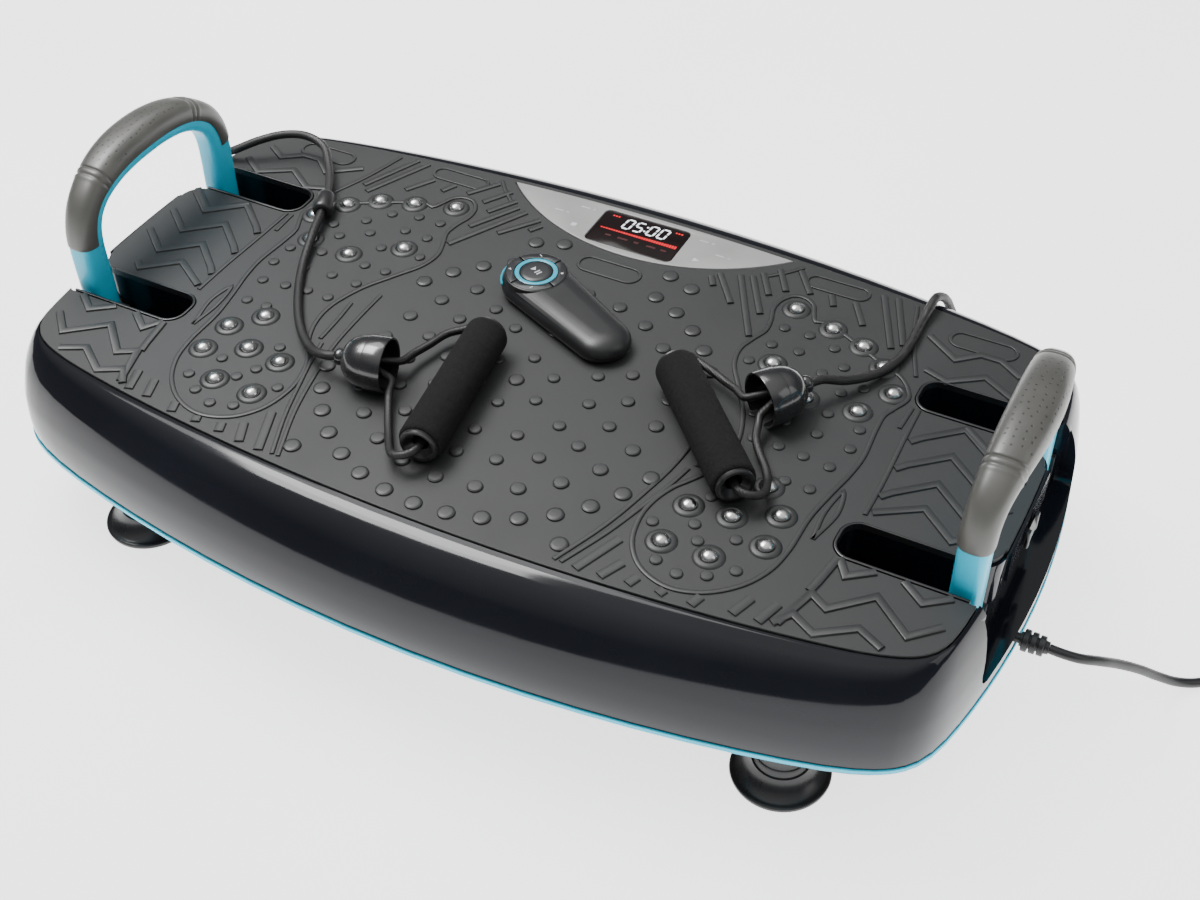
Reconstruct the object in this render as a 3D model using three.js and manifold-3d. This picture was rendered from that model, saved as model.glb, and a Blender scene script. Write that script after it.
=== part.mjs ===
// Vibration plate with folding hand grips, resistance bands and a hand remote.
// Millimetres, +Z up, +X to the user's right, +Y towards the display. The origin is on the floor,
// at the middle of the plate.
import * as THREE from 'three';
import { mergeVertices } from 'three/addons/utils/BufferGeometryUtils.js';
import Module from 'manifold-3d';

const wasm = await Module();
wasm.setup();

// ---- Driving dimensions -------------------------------------------------------------------------
const GAP = 0.3; // clearance between touching pieces
const DECK_TOP = 150; // tread surface above the floor
const MAT_THICKNESS = 4;
const SKIN = 3; // wall of the moulded covers

// Plan outlines: half depth, sag of the front and rear arcs, half length, sag of the end arcs,
// and how square the corners are.
const MAT_PLAN = { depth: 191, depthSag: 33, length: 367, endSag: 10, corner: 15 };
const HEM_PLAN = { depth: 238, depthSag: 51, length: 387, endSag: 28, corner: 16 };
// Directions of the outline's points in a quarter turn, in degrees: close together at the corner.
const QUARTER = [3, 12, 21, 30, 36.5, 40, 42.3, 44.2, 45.8, 47.7, 50, 53.5, 60, 69, 78, 87];

const TRIM_BOTTOM = 70; // coloured band between the cover and the pan
const TRIM_TOP = 74;
const PAN_FLOOR = 48;

const SLOT_Y = 79; // handle legs and their slots, from the middle line
const SLOT_HALF = 16;
const SLOT_INNER = 265;
const SLOT_FLOOR = 90;
const TUNNEL_INNER = 242;
const TUNNEL_ROOF = 122;

const HINGE_X = 352; // handle hinge when the handle stands up
const HINGE_Z = 109;
const HANDLE_TOP = 231.8; // centreline of the grip above the floor
const LEG_HALF_X = 10.5;
const LEG_HALF_Y = 11.3;
const GRIP_HALF_X = 12; // at the grip's two ends
const GRIP_HALF_RADIAL = 12.4;
const GRIP_OFFSET = 0.9; // of the grip's section, away from the hand gap
const PALM_SWELL_X = 5; // growth of the half widths from the ends to the middle of the grip
const PALM_SWELL_RADIAL = 2.4;
const PALM_BULGE = 5.2; // shift of the middle, away from the plate
const PIN_RADIUS = 4;

const RECESS_HALF = 98; // end recess that takes the folded handle
const SCOOP_HALF = 107;
const SCOOP_FLOOR_X = 366;

const FOOT_X = 268;
const FOOT_Y = 163;
const FOOT_RADIUS = 35;
const FOOT_HEIGHT = 17;
const COLLAR_RADIUS = 19; // round post between the bell of the foot and the pan

const PANEL_HALF = 124; // display panel, a lens on the rear edge
const PANEL_REAR = 186;
const PANEL_FRONT = 130;
const PANEL_SEAT = 0.8; // clearance of the panel in the tread
const WINDOW = { y: 159, width: 76, depth: 44, corner: 5 };

const SHAFT_Z = 92; // eccentric shaft across the plate
const SHAFT_HALF = 118;
const MOTOR_Y = -92;
const MOTOR_Z = 86;
const PULLEY_BIG = 30;
const PULLEY_SMALL = 12;

const CORD_RADIUS = 3.5; // mains lead
const BAND_RADIUS = 3.5; // resistance band
const LOOP_STEPS = 44;
const LOOP_RADIUS = 3; // loop that carries a foam grip
const FOAM_RADIUS = 16;
const FOAM_HALF = 62;
const BORE_RADIUS = 8;

// ---- Materials ----------------------------------------------------------------------------------
const paint = (color, roughness, metalness = 0) =>
  new THREE.MeshStandardMaterial({ color, roughness, metalness });
const GLOSS_BLACK = paint(0x17181b, 0.16);
const MATT_BLACK = paint(0x1b1c1e, 0.6);
const MAT_RUBBER = paint(0x4b4f52, 0.75);
const CYAN = paint(0x35b6cf, 0.4);
const GRIP_RUBBER = paint(0x62625c, 0.65);
const SILVER = paint(0x9da0a2, 0.4, 0.3);
const GLASS = paint(0x1c1214, 0.12);
const GREEN_BOARD = paint(0x1d5a3a, 0.5);
const STEEL = paint(0xb4b7ba, 0.3, 0.9);
const CAST_IRON = paint(0x5b5e61, 0.55, 0.7);
const REMOTE_GREY = paint(0x4f5154, 0.45);
const REMOTE_DARK = paint(0x333538, 0.4);
const FOOT_RUBBER = paint(0x1a1a1a, 0.45);
const FOAM = paint(0x2a2a2c, 0.9);
const CORD_BLACK = paint(0x181818, 0.6);

// ---- Solids -------------------------------------------------------------------------------------
function signedVolume(geometry) {
  const p = geometry.attributes.position;
  const index = geometry.index;
  const count = index ? index.count : p.count;
  const corner = (i) => new THREE.Vector3().fromBufferAttribute(p, index ? index.getX(i) : i);
  let volume = 0;
  for (let i = 0; i < count; i += 3) {
    volume += corner(i).dot(corner(i + 1).cross(corner(i + 2)));
  }
  return volume;
}

function welded(geometry) {
  const bare = geometry.clone();
  bare.deleteAttribute('normal');
  bare.deleteAttribute('uv');
  const joined = mergeVertices(bare, 1e-4);
  if (signedVolume(joined) < 0) {
    const ids = Array.from(joined.index.array);
    joined.setIndex(ids.reverse());
  }
  return joined;
}

function solid(geometry) {
  const joined = welded(geometry);
  return new wasm.Manifold(new wasm.Mesh({
    numProp: 3,
    vertProperties: new Float32Array(joined.attributes.position.array),
    triVerts: new Uint32Array(joined.index.array),
  }));
}

function geometryOf(manifold) {
  const mesh = manifold.getMesh();
  const geometry = new THREE.BufferGeometry();
  geometry.setAttribute('position', new THREE.Float32BufferAttribute(mesh.vertProperties, 3));
  geometry.setIndex(Array.from(mesh.triVerts));
  return geometry;
}

const cut = (body, ...tools) => tools.reduce((rest, tool) => rest.subtract(tool), body);
const join = (body, ...others) => others.reduce((all, other) => all.add(other), body);

// A box between two corners.
function box(x0, x1, y0, y1, z0, z1) {
  const geometry = new THREE.BoxGeometry(x1 - x0, y1 - y0, z1 - z0);
  return geometry.translate((x0 + x1) / 2, (y0 + y1) / 2, (z0 + z1) / 2);
}

// A disc or rod along 'x', 'y' or 'z' from one end to the other.
function rod(axis, radius, from, to, u = 0, v = 0, sides = 20) {
  const geometry = new THREE.CylinderGeometry(radius, radius, to - from, sides);
  const middle = (from + to) / 2;
  if (axis === 'x') {
    return geometry.rotateZ(Math.PI / 2).translate(middle, u, v);
  }
  if (axis === 'y') {
    return geometry.translate(u, middle, v);
  }
  return geometry.rotateX(Math.PI / 2).translate(u, v, middle);
}

// A turned piece about Z from [radius, height] pairs that start and end on the axis or close.
function turned(profile, sides = 20) {
  const points = profile.map(([r, z]) => new THREE.Vector2(r, z));
  return new THREE.LatheGeometry(points, sides).rotateX(Math.PI / 2);
}

function prism(shape, z0, z1, curveSegments = 8) {
  const options = { depth: z1 - z0, bevelEnabled: false, curveSegments };
  return new THREE.ExtrudeGeometry(shape, options).translate(0, 0, z0);
}

function ovalSection(halfInPlane, halfAcross, sides) {
  const points = [];
  for (let i = 0; i < sides; i += 1) {
    const a = ((i + 0.5) * 2 * Math.PI) / sides;
    points.push(new THREE.Vector2(halfInPlane * Math.cos(a), halfAcross * Math.sin(a)));
  }
  return new THREE.Shape(points);
}

function tube(points, halfInPlane, halfAcross, sides, steps) {
  const path = new THREE.CatmullRomCurve3(points.map((p) => new THREE.Vector3(...p)));
  const options = { steps, extrudePath: path, bevelEnabled: false };
  return new THREE.ExtrudeGeometry(ovalSection(halfInPlane, halfAcross, sides), options);
}

function roundedRect(width, depth, corner) {
  const [w, d] = [width / 2, depth / 2];
  const shape = new THREE.Shape();
  shape.moveTo(-w + corner, -d);
  shape.lineTo(w - corner, -d);
  shape.absarc(w - corner, -d + corner, corner, -Math.PI / 2, 0);
  shape.lineTo(w, d - corner);
  shape.absarc(w - corner, d - corner, corner, 0, Math.PI / 2);
  shape.lineTo(-w + corner, d);
  shape.absarc(-w + corner, d - corner, corner, Math.PI / 2, Math.PI);
  shape.lineTo(-w, -d + corner);
  shape.absarc(-w + corner, -d + corner, corner, Math.PI, 1.5 * Math.PI);
  return shape;
}

// ---- Plan outlines and lofts --------------------------------------------------------------------
// Points of the barrel-shaped outline that lies a share t of the way from the mat to the hem.
function planOutline(t, inset = 0) {
  const mix = (key) => MAT_PLAN[key] + (HEM_PLAN[key] - MAT_PLAN[key]) * t;
  const points = [];
  for (let i = 0; i < 4 * QUARTER.length; i += 1) {
    const quarter = Math.floor(i / QUARTER.length);
    const a = ((QUARTER[i % QUARTER.length] + 90 * quarter) * Math.PI) / 180;
    const [c, s] = [Math.cos(a), Math.sin(a)];
    const power = mix('corner');
    const r = (Math.abs(c) ** power + Math.abs(s) ** power) ** (-1 / power);
    const [u, v] = [r * c, r * s];
    const x = u * (mix('length') - inset - mix('endSag') * v * v);
    const y = v * (mix('depth') - inset - mix('depthSag') * u * u);
    points.push([x, y]);
  }
  return points;
}

// A closed solid through rings of equally many [x, y, z] points, capped at their centres.
function skin(rings) {
  const count = rings[0].length;
  const positions = rings.flat(2);
  const ids = [];
  for (let k = 0; k < rings.length - 1; k += 1) {
    for (let i = 0; i < count; i += 1) {
      const a = k * count + i;
      const b = k * count + ((i + 1) % count);
      ids.push(a, b, b + count, a, b + count, a + count);
    }
  }
  const bottom = positions.length / 3;
  const last = (rings.length - 1) * count;
  for (const ring of [rings[0], rings[rings.length - 1]]) {
    positions.push(...[0, 1, 2].map((k) => ring.reduce((sum, p) => sum + p[k], 0) / count));
  }
  for (let i = 0; i < count; i += 1) {
    const j = (i + 1) % count;
    ids.push(bottom, j, i, bottom + 1, last + i, last + j);
  }
  const geometry = new THREE.BufferGeometry();
  geometry.setAttribute('position', new THREE.Float32BufferAttribute(positions, 3));
  geometry.setIndex(ids);
  return geometry;
}

// The same for flat rings, each { z, points }.
const loft = (rings) => skin(rings.map(({ z, points }) => points.map(([x, y]) => [x, y, z])));

const ringAt = (z, t, inset = 0) => ({ z, points: planOutline(t, inset) });
const slab = (z0, z1, t, inset = 0) => loft([ringAt(z0, t, inset), ringAt(z1, t, inset)]);

// ---- Cover, pan and mat -------------------------------------------------------------------------
const COVER_TOP = DECK_TOP - MAT_THICKNESS - GAP;
const LIP_TOP = DECK_TOP - 1.5;
const COVER_BOTTOM = TRIM_TOP + GAP;

// The open slot that one handle leg slides and folds in; side is -1 or 1 for left or right, row is
// -1 or 1 for front or rear. It opens at the end of the plate, beside a rounded middle section.
function slotPlan(side, row, grow = 0) {
  const inner = SLOT_INNER - grow;
  const half = SLOT_HALF + grow;
  const corner = 12 + grow;
  const flare = 20 - grow;
  const outer = MAT_PLAN.length + 40;
  const raw = new THREE.Shape();
  raw.moveTo(outer, half);
  raw.lineTo(inner + corner, half);
  raw.absarc(inner + corner, half - corner, corner, Math.PI / 2, Math.PI);
  raw.absarc(inner + corner, -half + corner, corner, Math.PI, 1.5 * Math.PI);
  raw.lineTo(MAT_PLAN.length - 20, -half);
  raw.absarc(MAT_PLAN.length - 20, -half - flare, flare, Math.PI / 2, 0, true);
  raw.lineTo(outer, -half - flare);
  const points = raw.getPoints(4).map((p) => new THREE.Vector2(side * p.x, row * (SLOT_Y + p.y)));
  return new THREE.Shape(points);
}

function slotPocket(side, row, grow = 0) {
  const plan = slotPlan(side, row, grow);
  const shaft = solid(prism(plan, SLOT_FLOOR - grow, DECK_TOP + 20, 4));
  const xs = [side * (TUNNEL_INNER - grow), side * (SLOT_INNER + 20)].sort((a, b) => a - b);
  const ys = [row * SLOT_Y - SLOT_HALF - grow, row * SLOT_Y + SLOT_HALF + grow];
  const tunnel = box(xs[0], xs[1], ys[0], ys[1], SLOT_FLOOR - grow, TUNNEL_ROOF + grow);
  return join(shaft, solid(tunnel));
}

// Extrudes a profile of [x, z] points along Y between -half and half, mirrored to one side.
function alongY(profile, half, side) {
  const shape = new THREE.Shape(profile.map(([x, z]) => new THREE.Vector2(side * x, z)));
  const options = { depth: 2 * half, bevelEnabled: false };
  return new THREE.ExtrudeGeometry(shape, options).rotateX(Math.PI / 2).translate(0, half, 0);
}

const SCOOP_FLOOR = 86;
const SCOOP_PROFILE = [[370.5, 124], [SCOOP_FLOOR_X, 118], [SCOOP_FLOOR_X, 94], [372, SCOOP_FLOOR],
  [430, SCOOP_FLOOR], [430, 124]];
const RECESS_PROFILE = [[368.5, 175], ...SCOOP_PROFILE.slice(0, 5), [430, 175]];

function endRecess(side, grow = 0) {
  const shift = ([x, z]) => [x - grow, z < 100 ? z - grow : z + grow];
  const recess = alongY(RECESS_PROFILE.map(shift), RECESS_HALF + grow, side);
  const scoop = alongY(SCOOP_PROFILE.map(shift), SCOOP_HALF + grow, side);
  return join(solid(recess), solid(scoop));
}

function pockets(grow) {
  const all = [];
  for (const side of [-1, 1]) {
    all.push(endRecess(side, grow));
    for (const row of [-1, 1]) {
      all.push(slotPocket(side, row, grow));
    }
  }
  return all;
}

// Circuit boards and the round posts that carry them.
const CONTROL_BOARD = { x0: -70, x1: 70, y0: 128, y1: 174, bottom: 132, top: 134 };
const POWER_BOARD = { x0: 150, x1: 240, y0: -60, y1: 60, bottom: 57, top: 60 };
const boardBox = (b) => box(b.x0, b.x1, b.y0, b.y1, b.bottom, b.top);

function boardPosts(board, from, to) {
  const posts = [];
  for (const x of [board.x0 + 8, board.x1 - 8]) {
    for (const y of [board.y0 + 8, board.y1 - 8]) {
      posts.push(solid(rod('z', 4, from, to, x, y, 8)));
    }
  }
  return posts;
}

const RELIEF_Y = -50; // where the mains lead leaves the right-hand end
const RELIEF_Z = 82;
const COVER_OUTER = [[COVER_BOTTOM, 0.985], [87, 1], [104, 0.95], [121, 0.8], [134, 0.6],
  [144, 0.33], [LIP_TOP - 0.4, 0.12], [LIP_TOP, 0.05]];
const COVER_INNER = [[COVER_BOTTOM - 10, 0.985], [87, 1], [104, 0.95], [121, 0.79], [133, 0.58],
  [COVER_TOP - SKIN, 0.3]];

function upperCover() {
  const outer = solid(loft(COVER_OUTER.map(([z, t]) => ringAt(z, t))));
  const inner = solid(loft(COVER_INNER.map(([z, t]) => ringAt(z, t, SKIN))));
  const hollow = cut(inner, ...pockets(SKIN));
  const matSeat = solid(slab(COVER_TOP, DECK_TOP + 20, 0, -0.6));
  const leadHole = solid(rod('x', 5.2, 370, 400, RELIEF_Y, RELIEF_Z, 12));
  const shell = cut(outer, hollow, matSeat, leadHole, ...pockets(0));
  const posts = boardPosts(CONTROL_BOARD, CONTROL_BOARD.top + GAP, COVER_TOP - 1);
  return geometryOf(join(shell, ...posts));
}

function basePan() {
  const outer = solid(loft([ringAt(PAN_FLOOR, 0.6, 14), ringAt(PAN_FLOOR + 8, 0.85, 4),
    ringAt(TRIM_BOTTOM - GAP, 0.98, 2)]));
  const inner = solid(loft([ringAt(PAN_FLOOR + SKIN, 0.6, 19), ringAt(PAN_FLOOR + 11, 0.85, 8),
    ringAt(TRIM_BOTTOM + 5, 0.98, 5)]));
  const extras = boardPosts(POWER_BOARD, PAN_FLOOR + 1, POWER_BOARD.bottom - GAP);
  for (const side of [-1, 1]) {
    const x = side * BAND_ANCHOR[0];
    extras.push(solid(box(x - 9, x + 9, BAND_ANCHOR[1] - 24, BAND_ANCHOR[1], 52, 64)));
  }
  return geometryOf(join(cut(outer, inner), ...extras));
}

function trimBand() {
  const z0 = TRIM_BOTTOM;
  const z1 = TRIM_TOP;
  return geometryOf(cut(solid(slab(z0, z1, 1, -0.5)), solid(slab(z0 - 5, z1 + 5, 0.98, 5))));
}

function deckMat() {
  const mat = solid(slab(DECK_TOP - MAT_THICKNESS, DECK_TOP, 0));
  const slots = [];
  for (const side of [-1, 1]) {
    for (const row of [-1, 1]) {
      slots.push(solid(prism(slotPlan(side, row, 1.2), 100, 200, 4)));
    }
  }
  return geometryOf(cut(mat, ...slots, solid(prism(panelPlan(PANEL_SEAT), 100, 200, 14))));
}

// ---- Display ------------------------------------------------------------------------------------
// A lens: a long rear arc that follows the plate's edge and a deeper front arc.
function panelPlan(grow = 0) {
  const half = PANEL_HALF + grow;
  const rear = PANEL_REAR + grow;
  const front = PANEL_FRONT - grow;
  const tip = rear - 4 - grow;
  const sag = tip - front;
  const radius = (half * half + sag * sag) / (2 * sag);
  const reach = Math.asin(half / radius);
  const shape = new THREE.Shape();
  shape.absarc(0, front + radius, radius, -Math.PI / 2 - reach, -Math.PI / 2 + reach);
  shape.quadraticCurveTo(0, rear + 4, -half, tip);
  return shape;
}

function displayPanel() {
  const z0 = DECK_TOP - MAT_THICKNESS;
  const plate = solid(prism(panelPlan(), z0, DECK_TOP, 14));
  const well = prism(roundedRect(WINDOW.width, WINDOW.depth, WINDOW.corner), z0 + 1.5, 200, 3);
  return geometryOf(cut(plate, solid(well.translate(0, WINDOW.y, 0))));
}

function displayWindow() {
  const width = WINDOW.width - 2 * GAP;
  const depth = WINDOW.depth - 2 * GAP;
  const plate = prism(roundedRect(width, depth, WINDOW.corner - GAP), DECK_TOP - 2.2, DECK_TOP, 3);
  return plate.translate(0, WINDOW.y, 0);
}

// ---- Drive --------------------------------------------------------------------------------------
function motorBody() {
  const can = turned([[0, -104], [26, -104], [32, -98], [32, -26], [26, -20], [14, -20], [14, -14],
    [5.3, -14], [5.3, -40], [0, -40]], 24);
  return can.rotateY(Math.PI / 2).translate(0, MOTOR_Y, MOTOR_Z);
}

function motorBracket() {
  const saddle = box(-96, -30, MOTOR_Y - 36, MOTOR_Y + 36, PAN_FLOOR + SKIN + GAP, MOTOR_Z - 8);
  const seat = rod('x', 32.4, -120, -10, MOTOR_Y, MOTOR_Z, 24);
  return geometryOf(cut(solid(saddle), solid(seat)));
}

function motorShaft() {
  const shape = turned([[0, -39], [5, -39], [5, -11], [PULLEY_SMALL + 2, -11], [PULLEY_SMALL + 2, -9],
    [PULLEY_SMALL, -8], [PULLEY_SMALL, 8], [PULLEY_SMALL + 2, 9], [PULLEY_SMALL + 2, 11], [0, 11]]);
  return shape.rotateY(Math.PI / 2).translate(0, MOTOR_Y, MOTOR_Z);
}

// The strip that wraps both pulleys, as a closed outline offset from their rims.
function beltPlan(offset) {
  const small = new THREE.Vector2(MOTOR_Y, MOTOR_Z);
  const big = new THREE.Vector2(0, SHAFT_Z);
  const along = big.clone().sub(small);
  const lean = Math.asin((PULLEY_BIG - PULLEY_SMALL) / along.length());
  const heading = along.angle();
  const start = heading + Math.PI / 2 + lean;
  const shape = new THREE.Shape();
  shape.absarc(small.x, small.y, PULLEY_SMALL + offset, start, start + Math.PI - 2 * lean);
  const turn = heading - Math.PI / 2 - lean;
  shape.absarc(big.x, big.y, PULLEY_BIG + offset, turn, turn + Math.PI + 2 * lean);
  return shape;
}

function driveBelt() {
  const shape = beltPlan(2.6);
  shape.holes.push(beltPlan(0.4));
  const strip = prism(shape, -7, 7, 10);
  return strip.rotateX(Math.PI / 2).rotateZ(Math.PI / 2);
}

const SHAFT_RADIUS = 8;

const eccentricShaft = () => rod('x', SHAFT_RADIUS, -SHAFT_HALF, SHAFT_HALF, 0, SHAFT_Z, 16);

function shaftPulley() {
  const rim = PULLEY_BIG + 2;
  const bore = SHAFT_RADIUS + GAP;
  const shape = turned([[bore, -11], [rim, -11], [rim, -9], [PULLEY_BIG, -8], [PULLEY_BIG, 8],
    [rim, 9], [rim, 11], [bore, 11], [bore, -11]], 24);
  return shape.rotateY(Math.PI / 2).translate(0, 0, SHAFT_Z);
}

// A half disc with a hub, whose mass sits off the shaft's axis.
function flyweight(x) {
  const half = 12;
  const disc = rod('x', 34, x - half, x + half, 0, SHAFT_Z, 24);
  const upper = box(x - 20, x + 20, -50, 50, SHAFT_Z + 6, SHAFT_Z + 60);
  const hub = rod('x', 14, x - half, x + half, 0, SHAFT_Z, 16);
  const bore = rod('x', SHAFT_RADIUS + GAP, x - 30, x + 30, 0, SHAFT_Z, 16);
  return geometryOf(cut(join(cut(solid(disc), solid(upper)), solid(hub)), solid(bore)));
}

function bearingBlock(x) {
  const foot = PAN_FLOOR + SKIN + GAP;
  const base = box(x - 10, x + 10, -32, 32, foot, foot + 8);
  const post = box(x - 8, x + 8, -18, 18, foot + 4, SHAFT_Z);
  const eye = rod('x', 18, x - 8, x + 8, 0, SHAFT_Z, 20);
  const bore = rod('x', SHAFT_RADIUS + GAP, x - 30, x + 30, 0, SHAFT_Z, 16);
  return geometryOf(cut(join(solid(base), solid(post), solid(eye)), solid(bore)));
}

// ---- Handles ------------------------------------------------------------------------------------
const HANDLE_STEPS = 32;
const GRIP_STEPS = 22;
// Centreline of one half of the handle, from the hinge up and over, as [y, z].
const HANDLE_HALF = [[SLOT_Y, HINGE_Z - 9], [SLOT_Y, 145], [SLOT_Y + 0.5, 168], [SLOT_Y + 0.3, 184],
  [SLOT_Y - 2, 198], [SLOT_Y - 8.5, 210.5], [SLOT_Y - 20.5, 220], [SLOT_Y - 37, 227],
  [SLOT_Y - 57, HANDLE_TOP - 1]];

function handlePath(first) {
  const half = HANDLE_HALF.slice(first);
  const front = half.map(([y, z]) => [0, -y, z]);
  const rear = half.map(([y, z]) => [0, y, z]).reverse();
  return [...front, [0, 0, HANDLE_TOP], ...rear];
}

function handleFrame() {
  let frame = solid(tube(handlePath(0), LEG_HALF_Y, LEG_HALF_X, 10, HANDLE_STEPS));
  for (const row of [-1, 1]) {
    const y = row * SLOT_Y;
    frame = cut(frame, solid(rod('y', PIN_RADIUS + GAP, y - 20, y + 20, 0, HINGE_Z, 12)));
  }
  return geometryOf(frame);
}

// One oval of the grip round a point of the bow. It swells towards the middle, away from the plate.
function gripRing(at, tangent, side, sides) {
  const outward = new THREE.Vector3(1, 0, 0).cross(tangent);
  const swell = (1 - Math.min(Math.abs(at.y) / SLOT_Y, 1) ** 2) ** 1.3;
  const ring = [];
  for (let i = 0; i < sides; i += 1) {
    const a = ((i + 0.5) * 2 * Math.PI) / sides;
    const out = GRIP_OFFSET + (GRIP_HALF_RADIAL + PALM_SWELL_RADIAL * swell) * Math.cos(a);
    const across = side * PALM_BULGE * swell + (GRIP_HALF_X + PALM_SWELL_X * swell) * Math.sin(a);
    ring.push([across, at.y + outward.y * out, at.z + outward.z * out]);
  }
  return ring;
}

// The soft grip wraps the outside of the bow and leaves its inner side open.
function handleGrip(side) {
  const path = handlePath(3);
  const curve = new THREE.CatmullRomCurve3(path.map((p) => new THREE.Vector3(...p)));
  const rings = [];
  for (let i = 0; i <= GRIP_STEPS; i += 1) {
    const t = i / GRIP_STEPS;
    rings.push(gripRing(curve.getPointAt(t), curve.getTangentAt(t), side, 12));
  }
  const bore = [LEG_HALF_Y + GAP, LEG_HALF_X + GAP];
  const inside = solid(tube(handlePath(0), ...bore, 10, HANDLE_STEPS));
  const open = path.map(([x, y, z]) => {
    const flat = Math.min(Math.abs(y) / SLOT_Y, 1) ** 6;
    const inward = 11;
    return [x, y - Math.sign(y) * inward * flat, z - inward * (1 - flat)];
  });
  open[0][2] -= 12;
  open[open.length - 1][2] -= 12;
  const gapStrip = solid(tube(open, 6, 8, 6, GRIP_STEPS));
  return geometryOf(cut(solid(skin(rings)), inside, gapStrip));
}

function slideBlock(row) {
  const y = row * SLOT_Y;
  const outer = solid(box(-12, 12, y - 15.4, y + 15.4, SLOT_FLOOR + GAP, HINGE_Z + 9));
  const room = solid(box(-20, 20, y - 11.4, y + 11.4, SLOT_FLOOR + 2.6, HINGE_Z + 20));
  const bore = solid(rod('y', PIN_RADIUS + GAP, y - 20, y + 20, 0, HINGE_Z, 12));
  return geometryOf(cut(outer, room, bore));
}

const pivotPin = (row) =>
  rod('y', PIN_RADIUS, row * SLOT_Y - 15, row * SLOT_Y + 15, 0, HINGE_Z, 12);

// Spring catch on the end wall, over the scoop, that keeps the folded grip down.
function handleCatch(side) {
  const profile = [[371.2, 126.5], [373, 127.5], [373, 131], [371.2, 138]];
  return alongY(profile, 12, side);
}

// ---- Feet ---------------------------------------------------------------------------------------
const foot = () => turned([[0, 0], [FOOT_RADIUS - 2, 0], [FOOT_RADIUS, 2], [FOOT_RADIUS - 0.5, 5],
  [FOOT_RADIUS - 4, 7], [25, 11], [COLLAR_RADIUS + 2, FOOT_HEIGHT],
  [COLLAR_RADIUS, FOOT_HEIGHT + 2], [COLLAR_RADIUS, PAN_FLOOR - GAP], [0, PAN_FLOOR - GAP]], 18);

// ---- Remote -------------------------------------------------------------------------------------
const REMOTE_HEAD = [-37, 60];
const REMOTE_TAIL = [38.5, 21.8];
const REMOTE_HEAD_RADIUS = 27;
const REMOTE_TAIL_RADIUS = 22;
const REMOTE_BOTTOM = DECK_TOP + GAP;
const KEY_TOP = REMOTE_BOTTOM + 19;

// Teardrop outline: the hull of the head circle and the tail circle, in the remote's own frame
// with the head at the origin and the tail along +X.
function remotePlan(inset) {
  const length = Math.hypot(REMOTE_TAIL[0] - REMOTE_HEAD[0], REMOTE_TAIL[1] - REMOTE_HEAD[1]);
  const head = REMOTE_HEAD_RADIUS - inset;
  const tail = REMOTE_TAIL_RADIUS - inset;
  const lean = Math.acos((REMOTE_HEAD_RADIUS - REMOTE_TAIL_RADIUS) / length);
  const shape = new THREE.Shape();
  shape.absarc(0, 0, head, lean, 2 * Math.PI - lean);
  shape.absarc(length, 0, tail, -lean, lean);
  return shape;
}

function remoteLayers(levels) {
  const rings = levels.map(([z, inset]) => ({
    z, points: remotePlan(inset).getPoints(8).slice(0, -1).map((p) => [p.x, p.y]),
  }));
  return loft(rings);
}

const remoteBase = () => remoteLayers([[REMOTE_BOTTOM, 5], [REMOTE_BOTTOM + 3, 1],
  [REMOTE_BOTTOM + 7, 0]]);

function keySector(from, to, inner, outer) {
  const shape = new THREE.Shape();
  shape.absarc(0, 0, outer, from, to);
  shape.absarc(0, 0, inner, to, from, true);
  return shape;
}

const KEY_COUNT = 4;
const KEY_INNER = 17;
const KEY_OUTER = 23.5;
const CENTRE_KEY_RADIUS = 12.5;
const KEY_DEPTH = 5;

function ringKey(i, grow = 0) {
  const step = (2 * Math.PI) / KEY_COUNT;
  const gap = (0.5 - grow) / KEY_INNER;
  const sector = keySector(i * step + gap, (i + 1) * step - gap, KEY_INNER - grow, KEY_OUTER + grow);
  return prism(sector, KEY_TOP - KEY_DEPTH - 3 * grow, KEY_TOP + 10 * grow, 5);
}

function remoteTop() {
  const shell = solid(remoteLayers([[REMOTE_BOTTOM + 7 + GAP, 0], [REMOTE_BOTTOM + 12, 1.5],
    [REMOTE_BOTTOM + 16, 4.5], [REMOTE_BOTTOM + 18.5, 9]]));
  const wells = [solid(rod('z', CENTRE_KEY_RADIUS + GAP, KEY_TOP - KEY_DEPTH - 1, 200))];
  for (let i = 0; i < KEY_COUNT; i += 1) {
    wells.push(solid(ringKey(i, GAP)));
  }
  return geometryOf(cut(shell, ...wells));
}

const centreKey = () => rod('z', CENTRE_KEY_RADIUS, KEY_TOP - KEY_DEPTH, KEY_TOP + 0.5, 0, 0, 20);

// ---- Cords and bands ----------------------------------------------------------------------------
const BAND_ANCHOR = [300, 208]; // ear on the pan's rear edge, mirrored left and right
const ON_DECK = DECK_TOP + BAND_RADIUS + 0.6;
const BELL_Z = DECK_TOP + GAP + 17.7; // axis of the bells that join bands and loops
const LEFT_BAND = [[-300, 208.4, 58], [-300.5, 215.5, 58.3], [-307, 221, 61.5], [-322, 220, 69],
  [-341, 209, 79], [-360, 193, 90], [-377, 172, 102], [-387, 148, 113], [-390, 126, 125],
  [-384, 110, 139], [-371, 103, 151], [-354, 107, 160], [-337, 119, 167], [-320, 132, 170],
  [-303, 139, 169.5], [-285, 137, 166], [-269, 121, 161], [-252.3, 97, ON_DECK + 5],
  [-240, 70, ON_DECK + 5], [-229, 40, ON_DECK + 4], [-214, 2, ON_DECK], [-193, -34, ON_DECK],
  [-170, -63, ON_DECK + 1], [-145, -84, ON_DECK + 6], [-128, -91.4, ON_DECK + 12.5],
  [-118.9, -90.2, BELL_Z]];
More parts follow.
